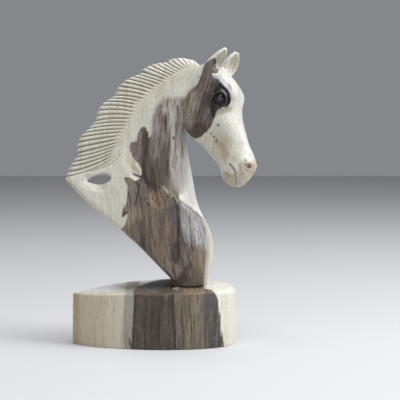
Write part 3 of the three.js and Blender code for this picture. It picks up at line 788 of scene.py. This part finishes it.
VEINS_AND_CUT_SHADE = [
    (1.5, [(147.2, 132), (146.2, 145), (144.4, 158), (143.2, 168), (144.4, 178), (148.6, 185)]),
    (0.8, [(139.4, 184), (137.6, 194), (134.6, 207)]), (0.6, [(140.6, 188), (143, 195), (145.6, 201.5)]),
    (0.9, [(176.4, 206.6), (178.2, 211), (179.2, 218)]), (1.7, [(179, 219), (178.8, 226), (178.2, 233)]),
    (0.7, [(178.2, 233), (176.8, 243)]), (1.1, [(177.2, 243.6), (178.3, 252), (177, 261)]),
    (1.0, [(175.6, 243.4), (173.2, 246), (172.4, 253), (173.4, 259), (176, 262)]),
    (0.7, [(188.4, 266.6), (184, 272), (180, 277.5), (176.8, 283.6)]),
    (0.6, [(164, 266), (170, 275), (176, 284)]),
    (0.6, [(189, 216), (190.6, 231), (191.6, 242), (190.8, 256)]),
    (0.8, [(186.6, 262.4), (186.9, 262.8)]), (0.8, [(190.4, 263.6), (190.7, 264)]),
    (0.7, [(183.2, 266.6), (183.5, 267)]), (0.4, [(182.4, 229), (182.6, 240)]),
    (0.5, [(165.4, 116), (163.4, 124), (161, 131)]), (0.55, [(177.2, 106), (177.8, 116), (178.4, 126)]),
    (1.5, [(172.8, 294), (172, 305), (172.6, 318), (174.4, 332), (175, 352)]),
    (0.9, [(177.6, 304), (178.6, 325), (179.4, 352)]), (0.5, [(153.4, 296), (153.2, 320), (152.4, 340)]),
    (0.45, [(163.4, 300), (163.8, 322)]), (1.3, [(123.6, 215.6), (126.2, 212.6)]),
    # The first line here is painted shadow in the crevice under the scar's pale ridge.
    (0.9, [(134, 174.6), (138, 176.2), (141, 177)]), (0.6, [(141.8, 178), (139.6, 184)]),
    (1.1, [(173.2, 137.6), (173.4, 138.6)]), (1.25, [(218.5, 124.8), (218.6, 125.2)]),
    (1.35, [(214, 136.6), (214.1, 137)]), (1.15, [(211, 133), (211.2, 133.3)]),
    (1.1, [(216.5, 140.6), (216.6, 141)]), (0.9, [(212.8, 95.6), (213.4, 96.6)]),
    # The second line here and the next are painted shade in the stop-cut round the foot.
    (0.6, [(192.6, 83.4), (193, 84.6)]), (0.7, [(180, 286.8), (190, 287.4), (201, 286.6)]),
    (0.6, [(170.6, 287.6), (177, 286.2), (184, 287)]),
] + [(0.95, [pit, (pit[0] + 0.3, pit[1] + 0.2)]) for pit in PITS]
# Washes of tone: wood that takes them, colour, strength, soft edge and outline, the last two in
# view pixels. The washes noted below as painted highlight or painted shade are light, not the wood's tone.
WASHES = [
    ("heart", "#B7B2AC", 0.95, 5, [
        (178, 98), (170, 106), (169, 130), (170, 150), (169, 172), (171, 190), (181, 200), (190, 196),
        (190, 150), (188, 120),
    ]),
    ("heart", "#B4ADA2", 0.85, 6, [
        (150, 98), (160, 94), (182, 92), (182, 106), (166, 114), (158, 122), (151, 128),
    ]),
    ("heart", "#483C33", 0.85, 4, [
        (143, 130), (150, 136), (149, 160), (148, 182), (142, 180), (141, 160), (142, 145),
    ]),
    ("heart", "#968C89", 0.9, 5, [
        (127, 142), (135, 130), (141, 132), (139, 148), (138, 163), (133, 160), (127, 150),
    ]),
    ("heart", "#8E8486", 0.6, 4, [(153, 104), (160, 103), (161, 120), (157, 132), (151, 126)]),
    ("heart", "#867A6D", 0.85, 5, [(150, 108), (162, 112), (168, 150), (160, 168), (151, 162), (150, 140)]),
    ("heart", "#A19A9C", 0.6, 3, [(151, 118), (156, 108), (161, 108), (160, 122), (156, 136), (152, 140)]),
    ("heart", "#544536", 0.85, 7, [
        (149, 180), (153, 164), (160, 152), (165, 144), (168, 160), (167, 178), (158, 190), (148, 188),
    ]),
    ("heart", "#85796F", 0.8, 4, [(124, 178), (138, 182), (138, 200), (132, 210), (124, 210), (127, 195)]),
    ("heart", "#9A8D77", 0.85, 6, [(120, 215), (135, 208), (145, 212), (140, 240), (124, 236)]),
    ("heart", "#66594A", 0.8, 6, [(126, 228), (146, 220), (156, 255), (150, 272), (132, 250)]),
    ("heart", "#7F7161", 0.9, 6, [(144, 206), (158, 210), (174, 214), (174, 258), (160, 262), (148, 232)]),
    ("heart", "#95856C", 0.9, 5, [(146, 196), (158, 190), (172, 190), (176, 200), (168, 208), (150, 208)]),
    ("heart", "#8B8A76", 0.8, 4, [(169, 190), (178, 192), (180, 202), (172, 204)]),
    ("heart", "#ABAAA8", 0.95, 4, [
        (181, 199), (192, 206), (202, 218), (208, 236), (208, 250), (198, 252), (184, 244), (179.5, 224),
        (180, 208),
    ]),
    ("heart", "#8C8070", 0.85, 5, [(183, 246), (206, 250), (208, 276), (196, 284), (186, 268)]),
    ("heart", "#7D6A54", 0.6, 4, [(196, 248), (204, 248), (205, 276), (196, 278)]),
    ("heart", "#8F8576", 0.8, 5, [(162, 262), (178, 264), (182, 282), (170, 284)]),
    ("heart", "#4E4338", 0.85, 3, [(182, 272), (188, 267), (187, 278), (180, 286), (172, 284), (178, 276)]),
    ("heart", "#6F6C80", 0.75, 2.5, [
        (170.6, 206), (175.4, 206), (178, 213), (177.4, 222), (174.6, 226), (172, 218),
    ]),
    ("heart", "#9A8068", 0.5, 4, [(165, 222), (172, 222), (173, 234), (167, 236)]),
    ("heart", "#4A3D33", 0.75, 3, [
        (172.4, 243), (178, 242), (179, 252), (177.4, 262), (173, 262), (171.8, 252),
    ]),
    ("heart", "#54483D", 0.6, 4, [(177.5, 214), (180.6, 216), (180.6, 232), (178.6, 240), (176.8, 232)]),
    ("heart", "#7A8096", 0.4, 3, [(199, 222), (202, 222), (204, 244), (200, 246)]),
    ("cheek", "#665C55", 1.0, 5, [
        (204, 62), (216, 58), (220, 80), (228, 92), (216, 116), (207, 132), (197, 128), (196, 104),
        (198, 84),
    ]),
    ("cheek", "#9F9383", 0.9, 5, [(178, 100), (192, 90), (198, 96), (195, 112), (192, 128), (182, 124)]),
    ("cheek", "#49352C", 0.85, 3.5, [(194, 124), (204, 122), (205, 132), (198, 138), (191, 133)]),
    ("cheek", "#857565", 0.55, 3, [(206, 78), (213, 77), (208, 92), (204, 92)]),
    ("cheek", "#86807C", 0.4, 3, [(213, 66), (218, 68), (216, 72), (212, 70)]),
    ("cheek", "#3A312D", 0.8, 3, [(211, 84), (218, 82), (214, 96), (210, 108), (207, 100)]),
    ("base", "#4B4136", 1.0, 2, [(130, 284), (172, 284), (172, 356), (130, 356)]),
    ("base", "#6E6756", 1.0, 2.5, [(180, 296), (209, 296), (209, 356), (180, 356)]),
    ("base", "#514C4A", 0.95, 3.5, [
        (201, 292), (214, 292), (222, 306), (223, 352), (210, 352), (206, 322),
    ]),
    ("base", "#8A7560", 0.8, 2.5, [(175.5, 296.5), (181.5, 296.5), (181, 304), (176, 304)]),
    ("base", "#6E6354", 0.9, 3, [(133, 276), (212, 276), (216, 293), (133, 293)]),
    ("base", "#5A595B", 0.8, 4, [(146, 281), (163, 279), (164, 288), (148, 290)]),
    ("base", "#46382D", 0.75, 3, [(161, 284), (174, 284), (174, 292), (160, 292)]),
    ("base", "#8E7A62", 0.8, 3, [(184, 289), (202, 288), (203, 294), (186, 295)]),
    # Painted highlight: the throat's front strip and the facet above the chest's ledge, which face the
    # lamps, painted near white.
    ("sap", "#F3F1EC", 1.0, 3, [
        (186, 108), (192, 138), (195, 165), (200, 192), (207, 214), (201, 217), (193, 209), (184, 202),
        (178, 196), (186, 190), (186, 160), (184, 132),
    ]),
    ("sap", "#C3C0B8", 0.9, 5, [
        (219, 66), (232, 76), (242, 90), (245, 104), (244, 130), (234, 118), (231, 96), (222, 78),
    ]),
    ("sap", "#DEDCD0", 0.8, 5, [(221, 112), (236, 116), (243, 146), (232, 144), (222, 130)]),
    ("sap", "#CAC7C0", 0.85, 5, [(232, 100), (246, 104), (250, 140), (258, 164), (248, 160), (238, 134)]),
    ("sap", "#BDB8A0", 0.6, 6, [(206, 138), (216, 130), (232, 138), (240, 152), (230, 162), (216, 156)]),
    ("sap", "#B0A594", 0.85, 4, [(238, 164), (250, 160), (259, 168), (250, 182), (238, 188)]),
    ("sap", "#A3947E", 0.7, 3, [(224, 172), (234, 176), (236, 188), (226, 184)]),
    ("sap", "#B39C86", 0.45, 2, [
        (245.6, 165.6), (249, 161.8), (253.4, 164), (254, 168.4), (250.4, 171.2), (246.2, 170),
    ]),
    ("sap", "#6E5C4E", 0.75, 1.8, [(247.8, 166.4), (250, 164), (252, 166.4), (250.2, 169)]),
    # Painted shade in the hollow between the cheekbone and the muzzle.
    ("sap", "#A39279", 0.7, 4, [(215, 140), (222, 142), (229, 150), (230, 157), (224, 158), (218, 150)]),
    ("sap", "#98979E", 0.8, 3, [
        (212, 73), (219, 74.5), (225.5, 80), (231, 87), (234.4, 96), (232.6, 102), (229, 94), (224, 86),
        (216, 79),
    ]),
    ("sap", "#74727C", 0.7, 1.6, [(227, 83.6), (230, 85), (232.4, 89), (231, 90), (228.4, 87)]),
    # Painted shade under the raised lower lid.
    ("sap", "#A69A7F", 0.6, 3, [(216, 110), (229, 106.6), (231.6, 110), (224, 114), (216, 115)]),
    ("sap", "#C9C3B2", 0.7, 5, [
        (112, 110), (150, 80), (186, 66), (200, 70), (170, 92), (140, 122), (120, 150),
    ]),
    ("sap", "#C8B49C", 0.6, 6, [
        (127, 152), (133, 156), (139, 164), (142.4, 170), (141.4, 176), (134, 174), (128, 166),
    ]),
    ("sap", "#CBB599", 0.7, 2, [(129.6, 176.6), (135, 179), (139.4, 183.6), (134, 183), (129.6, 180)]),
    # Painted highlight on the dished bevel below the hole, which faces the lamp.
    ("sap", "#E0DDD2", 0.7, 3, [(80, 172), (88, 180), (98, 185), (96, 190), (86, 185), (78, 176)]),
    ("sap", "#C4A880", 0.45, 4, [(66, 180), (72, 186), (84, 196), (82, 200), (66, 186)]),
    ("sap", "#BDB29C", 0.95, 4, [(66, 294), (112, 294), (114, 356), (66, 356)]),
    ("sap", "#A8946F", 0.5, 5, [(68, 292), (78, 294), (79, 356), (68, 356)]),
    ("sap", "#C4BDAA", 0.9, 3, [(108, 294), (125, 294), (125, 356), (108, 356)]),
    ("sap", "#918C80", 0.9, 1.6, [(125.4, 286), (140, 284), (140, 356), (125.4, 356)]),
    # Pale sapwood at the base's right end, painted paler still as a highlight where its rounded end faces
    # the lamp.
    ("sap", "#DAD7CA", 0.8, 3, [(214, 280), (240, 284), (240, 356), (216, 356)]),
    ("side", "#B58A5A", 0.5, 1.2, [(78, 292), (120, 290.6), (120, 293.4), (78, 295)]),
    # Painted highlight: the top of the base at the left, lit from above, painted near white.
    ("sap", "#F0F0F0", 0.9, 4, [(74, 286), (104, 284), (118, 286), (110, 292), (78, 292)]),
]
PIXEL_MM = 0.67
# A mark's distance where it is absent, and where the head and the base end: their least depth and
# greatest height, and the depth of the base's top.
ABSENT, HEAD_FROM, BASE_FROM, TOP_FROM = -40, (-0.35, 16), (-0.5, 46), 0.8
# How ragged a wash's edge is, the painted highlight on heartwood and sapwood along the undercut's
# edge, the size of the eyeball's mark and its distance from the head's middle, the stain's depth past
# which its raised lids take painted glints, and how much painted shade the cuts take and where.
RAGGED, RIM_HIGHLIGHTS = 0.35, [("#B5A589", 0.75), ("#D3C4A0", 0.5)]
BALL_RADIUS, BALL_SIDE, GLINT_AND_WEAR_FROM, HEAD_CUT_SHADE, NECK_CUT_SHADE, STRANDS_FROM = 2.9, 5, -0.5, 0.9, 0.8, 105
# Where the border of the heartwood is soft instead of crisp, in view pixels, with up as minus py.
SOFTEST, SOFT_MUZZLE = 4, (-200, -182)
SOFT_CREST, SOFT_CHEST = {"up": (-142, -112), "right": (148, 152)}, {"right": (197, 207), "below": 214}
SOFT_THROAT = {"right": (174, 180), "below": 120, "up": (-196, -184), "most": 0.7}
# How far the grain leans at each height, in view pixels, and its lean down the head.
LEAN_ROWS = [60, 100, 140, 165, 185, 205, 235, 265, 300]
LEAN, HEAD_LEAN = [0, 0, -1, -3, 0, 4, 6, 8, 9], -0.28


def linear(code):
    """An sRGB hex colour as linear light."""
    srgb = np.array([int(code[i:i + 2], 16) for i in (1, 3, 5)]) / 255
    return np.where(srgb <= 0.04045, srgb / 12.92, ((srgb + 0.055) / 1.055) ** 2.4)


def uneven(x, z):
    """An unevenness from -1 to 1 that changes quickly across the grain and slowly along it: two
    waves across, each swung by slower waves along."""
    one = np.sin(0.95 * x + 2.1 * np.sin(0.06 * z + 1) + 0.5 * np.sin(0.24 * z))
    two = np.sin(2.1 * x + 1.7 + 1.6 * np.sin(0.12 * z) + 0.6 * np.sin(0.5 * z))
    return (one + 0.8 * two) / 1.8


def figure(points):
    """Colours of sapwood and heartwood at each corner, with some painted highlight and shade washed
    into them, the distances in mm inside the marks, and the place along the grain."""
    x, y, z = points.T
    hx, hy, hz = to_head(x, y, z)
    head = (head_depth(hx, hy, hz) > HEAD_FROM[0]) & (hz < HEAD_FROM[1])
    base = ~head & (base_depth(x, y, z) > BASE_FROM[0]) & (z < BASE_FROM[1])
    on_top = base & (base_top(x, y) - z < TOP_FROM)
    px, py = pixel_of(x, np.where(on_top, y, -np.abs(y)), z)
    qx, qy = head_pixel(hx, hy, hz)
    px, py = np.where(head, qx, px), np.where(head, qy, py)
    ragged = uneven(x, z)

    def inside(outline):
        """Distance in mm inside an outline in view pixels."""
        return outline_depth(px, py, rounded_outline(outline, 3)) * PIXEL_MM

    sap = np.repeat(linear(SAP)[None], len(x), 0)
    heart = np.repeat(linear(HEART)[None], len(x), 0)
    takes = {"cheek": head, "base": base, "heart": ~head & ~base, "side": base & ~on_top,
             "sap": np.ones(len(x), bool)}
    for kind, colour, strength, soft, outline in WASHES:
        depth = inside(outline) + RAGGED * soft * PIXEL_MM * ragged
        share = strength * smooth(depth, -0.5 * soft * PIXEL_MM, 0.5 * soft * PIXEL_MM) * takes[kind]
        into = sap if kind in ("sap", "side") else heart
        into += (linear(colour) - into) * share[:, None]
    # A painted highlight along the undercut's outer edge, on heartwood and sapwood alike.
    rim = NECK["rim"](x, z) * ~head * ~base
    for into, (colour, strength) in zip((heart, sap), RIM_HIGHLIGHTS):
        into += (linear(colour) - into) * (strength * rim)[:, None]

    marks = {"heart": np.where(head, inside(CHEEK), np.where(base, inside(HEART_BASE), inside(HEART_NECK)))}
    marks["stain"] = np.where(head, inside(STAIN), ABSENT)
    ball = np.sqrt((hx - EYE_AT[0]) ** 2 + (hz - EYE_AT[2]) ** 2)
    marks["ball"] = np.where(head & (np.abs(hy) > BALL_SIDE), BALL_RADIUS - ball, ABSENT)
    # Raised lids inside the stain: painted glints on them, with the stain worn thin there too.
    marks["glint_and_wear"] = np.where(marks["stain"] > GLINT_AND_WEAR_FROM, HEAD_RELIEF(qx, qy), ABSENT)
    vein_and_cut_shade = np.full(x.shape, float(ABSENT))
    for width, line in VEINS_AND_CUT_SHADE:
        vein_and_cut_shade = np.maximum(vein_and_cut_shade, (width - line_distance(px, py, line)) * PIXEL_MM)
    marks["vein_and_cut_shade"] = vein_and_cut_shade
    # The cuts take painted shade: the mane's strands, and the head's and the near side's knife cuts.
    strands = NECK["valley"](x, z) * (z > STRANDS_FROM) * ~base
    carved = np.where(head, np.maximum(-HEAD_RELIEF(qx, qy), 0) * HEAD_CUT_SHADE, strands)
    one_side = head | base | (y > 0)
    marks["cut"] = np.maximum(carved, np.where(one_side, 0, -NECK_RELIEF(px, py) * NECK_CUT_SHADE))
    crest = smooth(-py, *SOFT_CREST["up"]) * smooth(px, *SOFT_CREST["right"])
    chest = smooth(px, *SOFT_CHEST["right"]) * (py > SOFT_CHEST["below"])
    throat = SOFT_THROAT["most"] * smooth(px, *SOFT_THROAT["right"]) * (py > SOFT_THROAT["below"])
    neck = np.maximum(np.maximum(crest, chest), throat * smooth(-py, *SOFT_THROAT["up"]))
    marks["edge"] = 1 + SOFTEST * np.where(head, smooth(-px, *SOFT_MUZZLE), np.where(base, 0, neck))
    lean = np.interp(py, LEAN_ROWS, LEAN)
    lean = np.where(base, 0, np.where(head, HEAD_LEAN * (py - LEAN_ROWS[0]), lean)) * PIXEL_MM
    return sap, heart, marks, np.stack([x - lean, y, z], 1)


def paint_figure(mesh, points):
    """The figure kept on the mesh: two colours, the marks' distances, and the place along the grain."""
    sap, heart, marks, grain = figure(points)
    for name, colours in (("sapwood", sap), ("heartwood", heart)):
        layer = mesh.attributes.new(name, "FLOAT_COLOR", "POINT")
        layer.data.foreach_set("color", np.c_[colours, np.ones(len(colours))].astype(np.float32).ravel())
    for name, values in marks.items():
        layer = mesh.attributes.new("mark_" + name, "FLOAT", "POINT")
        layer.data.foreach_set("value", np.clip(values, ABSENT, -ABSENT).astype(np.float32))
    layer = mesh.attributes.new("grain", "FLOAT_VECTOR", "POINT")
    layer.data.foreach_set("vector", grain.astype(np.float32).ravel())


paint_figure(thinned, corners)

# Hibiscus wood, carved, sanded to about 240 grit and rubbed with wax: a matt skin with a soft sheen,
# upright grain in short dark pores, pale sapwood, brown-grey heartwood, and painted brown shade
# in the cuts.
# Each noise is drawn out along the grain: cell width and length in mm, detail, roughness and shift.
NOISES = {
    "broad": (8.0, 50.0, 2.0, 0.5, 0.0), "streak": (2.4, 45.0, 4.0, 0.6, 3.0),
    "fine": (0.8, 16.0, 3.0, 0.6, 7.0), "pore": (0.45, 4.0, 2.0, 0.5, 11.0),
    "wobble": (2.5, 11.0, 4.0, 0.65, 5.0), "mottle": (3.0, 4.0, 5.0, 0.7, 23.0),
}
# Streaks of each wood: the noise that draws them, how they are laid on, their colour, the noise's
# range, and the most they show.
STREAKS = [
    ("sapwood", "streak", "MULTIPLY", "#E0DAC9", 0.42, 0.68, 0.5),
    ("sapwood", "fine", "MULTIPLY", "#E3DDCE", 0.5, 0.72, 0.65),
    ("sapwood", "pore", "MULTIPLY", "#B9AD93", 0.58, 0.72, 0.75),
    ("heartwood", "mottle", "MIX", "#A99C8C", 0.5, 0.72, 0.26),
    ("heartwood", "streak", "MULTIPLY", "#9C8C7C", 0.46, 0.7, 0.9),
    ("heartwood", "broad", "MULTIPLY", "#A39486", 0.52, 0.72, 0.5),
    ("heartwood", "fine", "MULTIPLY", "#A59687", 0.46, 0.7, 0.9),
    ("heartwood", "pore", "MULTIPLY", "#A99B8C", 0.55, 0.72, 0.8),
]
# Marks laid over the wood: how far the wobble moves their edge in mm, how they are laid on, their
# colour, the range of distance over which they fade in, and the most they show.
MARKS = [
    # Dark veins of the wood, and painted shade in the stop-cut and under the scar's ridge.
    ("vein_and_cut_shade", 0.8, "MIX", "#2F261F", -0.5, 0.6, 0.85),
    # Painted shade in the knife cuts and the mane's strands.
    ("cut", 0.0, "MULTIPLY", "#8D836B", 0.35, 0.95, 0.8),
    ("stain", 0.9, "MIX", "#1B1714", -0.5, 0.6, 0.95),
    # Painted glints on the raised lids inside the stain, where the stain is also worn thin.
    ("glint_and_wear", 0.2, "MIX", "#6A625C", 0.4, 1.2, 0.5),
    ("ball", 0.0, "MIX", "#0B0A0A", -0.15, 0.15, 1.0),
]

# The wobble of the heartwood's border in mm, and the distances over which the wood changes colour.
BORDER_WOBBLE, BORDER = 1.3, (-0.45, 0.55)
# Roughness over the streaks, and what the stain and the eyeball take off it; the varnish on the
# eyeball and the wax on the rest; the pores' depth against the grain's, and the bump's height in m.
ROUGH_NOISE, ROUGH, STAIN_SHEEN, BALL_SHEEN = (0.3, 0.7), (0.5, 0.66), -0.24, -0.3
BALL_VARNISH, WAX, WAX_ROUGH = 0.9, 0.06, 0.1
PORE_DEPTH, BUMP, BUMP_HEIGHT = -1.5, 0.4, 0.0002
SOFT_STEP, TIMES_PLUS = {"interpolation_type": "SMOOTHSTEP"}, {"operation": "MULTIPLY_ADD"}

wood = bpy.data.materials.new("hibiscus_wood_sanded_and_waxed")
wood.use_nodes = True
tree = wood.node_tree
tree.nodes.clear()


def node(kind, settings=None, **inputs):
    """Adds a node, sets its properties, and fills its inputs with values or other nodes' outputs."""
    made = tree.nodes.new("ShaderNode" + kind)
    for name, value in (settings or {}).items():
        setattr(made, name, value)
    for name, value in inputs.items():
        socket = made.inputs[int(name[1:]) if name[1:].isdigit() else name.replace("_", " ")]
        if isinstance(value, bpy.types.NodeSocket):
            tree.links.new(value, socket)
        else:
            socket.default_value = (*linear(value), 1.0) if isinstance(value, str) else value
    return made


along_grain = node("Attribute", {"attribute_name": "grain"}).outputs["Vector"]
noise = {}
for name, (across, length, detail, rough, shift) in NOISES.items():
    drawn = node("Mapping", Vector=along_grain, Location=(shift, shift, 0.0),
                 Scale=(1 / across, 1 / across, 1 / length))
    noise[name] = node("TexNoise", Vector=drawn.outputs["Vector"], Scale=1.0, Detail=detail,
                       Roughness=rough).outputs["Fac"]
tone = {}
for name in ("sapwood", "heartwood"):
    tone[name] = node("Attribute", {"attribute_name": name}).outputs["Color"]
for name, drawn, blend, streak_colour, low, high, most in STREAKS:
    share = node("MapRange", SOFT_STEP, i0=noise[drawn], i1=low, i2=high, i3=0.0, i4=most)
    mixed = node("Mix", {"data_type": "RGBA", "blend_type": blend}, i0=share.outputs[0], i6=tone[name],
                 i7=streak_colour)
    tone[name] = mixed.outputs[2]

moved = node("Math", TIMES_PLUS, i0=noise["wobble"], i1=2 * BORDER_WOBBLE, i2=-BORDER_WOBBLE).outputs[0]
heart = node("Attribute", {"attribute_name": "mark_heart"}).outputs["Fac"]
edge = node("Attribute", {"attribute_name": "mark_edge"}).outputs["Fac"]
moved = node("Math", {"operation": "ADD"}, i0=heart, i1=moved).outputs[0]
moved = node("Math", {"operation": "DIVIDE"}, i0=moved, i1=edge).outputs[0]
share = node("MapRange", SOFT_STEP, i0=moved, i1=BORDER[0], i2=BORDER[1]).outputs[0]
colour = node("Mix", {"data_type": "RGBA"}, i0=share, i6=tone["sapwood"], i7=tone["heartwood"]).outputs[2]
laid = {}
for name, reach, blend, mark_colour, low, high, most in MARKS:
    distance = node("Attribute", {"attribute_name": "mark_" + name}).outputs["Fac"]
    moved = node("Math", TIMES_PLUS, i0=noise["wobble"], i1=2 * reach, i2=-reach)
    moved = node("Math", {"operation": "ADD"}, i0=distance, i1=moved.outputs[0]).outputs[0]
    share = node("MapRange", SOFT_STEP, i0=moved, i1=low, i2=high, i3=0.0, i4=most)
    mixed = node("Mix", {"data_type": "RGBA", "blend_type": blend}, i0=share.outputs[0], i6=colour,
                 i7=mark_colour)
    colour = mixed.outputs[2]
    laid[name] = share.outputs[0]

stained, ball = laid["stain"], laid["ball"]
rough = node("MapRange", SOFT_STEP, i0=noise["streak"], i1=ROUGH_NOISE[0], i2=ROUGH_NOISE[1], i3=ROUGH[0],
             i4=ROUGH[1]).outputs[0]
rough = node("Math", TIMES_PLUS, i0=stained, i1=STAIN_SHEEN, i2=rough).outputs[0]
rough = node("Math", TIMES_PLUS, i0=ball, i1=BALL_SHEEN, i2=rough).outputs[0]
varnish = node("Math", TIMES_PLUS, i0=ball, i1=BALL_VARNISH, i2=WAX).outputs[0]
relief = node("Math", TIMES_PLUS, i0=noise["pore"], i1=PORE_DEPTH, i2=noise["fine"]).outputs[0]
bump = node("Bump", Strength=BUMP, Distance=BUMP_HEIGHT, Height=relief).outputs["Normal"]
skin = node("BsdfPrincipled", Base_Color=colour, Roughness=rough, Normal=bump, IOR=1.5, Coat_Weight=varnish,
            Coat_Roughness=WAX_ROUGH)
node("OutputMaterial", Surface=skin.outputs["BSDF"])
horse.data.materials.clear()
horse.data.materials.append(wood)

# A plain pale floor carries the carving. A soft lamp stands to the upper right, a larger one hangs
# overhead and a weak one fills in from the front, as by a window under an open sky.
FLOOR_HALF, FLOOR_CORNERS = 3, [(-1, -1), (1, -1), (1, 1), (-1, 1)]
LAMPS_AIM = (0.01, 0, 0.1)
floor_mesh = bpy.data.meshes.new("floor")
floor_mesh.from_pydata([(x * FLOOR_HALF, y * FLOOR_HALF, 0) for x, y in FLOOR_CORNERS], [], [(0, 1, 2, 3)])
floor = in_scene("floor", floor_mesh)
pale_floor = bpy.data.materials.new("pale_floor")
pale_floor.use_nodes = True
shade = pale_floor.node_tree.nodes["Principled BSDF"]
shade.inputs["Base Color"].default_value = (*linear("#C4C3C1"), 1.0)
shade.inputs["Roughness"].default_value = 0.7
floor_mesh.materials.append(pale_floor)


def lamp(name, at, size, power, colour):
    """A square lamp of that size, in metres, and power, in watts, aimed at the carving's middle."""
    data = bpy.data.lights.new(name, "AREA")
    data.size, data.energy, data.color = size, power, linear(colour)
    lamp_object = in_scene(name, data)
    lamp_object.location = at
    aim = Vector(LAMPS_AIM) - Vector(at)
    lamp_object.rotation_euler = aim.to_track_quat("-Z", "Y").to_euler()


lamp("window", (0.95, -0.3, 0.75), 0.6, 11.5, "#FAFBFF")
lamp("sky", (0.2, -0.2, 1.5), 1.2, 25, "#F2F6FF")
lamp("front", (-0.5, -1.2, 0.5), 1.0, 3.5, "#FAFAFF")
world = bpy.data.worlds.new("soft_room")
world.use_nodes = True
world.node_tree.nodes["Background"].inputs["Color"].default_value = (*linear("#C9CDD2"), 1.0)
world.node_tree.nodes["Background"].inputs["Strength"].default_value = 0.4
bpy.context.scene.world = world
bpy.context.scene.view_settings.view_transform = "Standard"
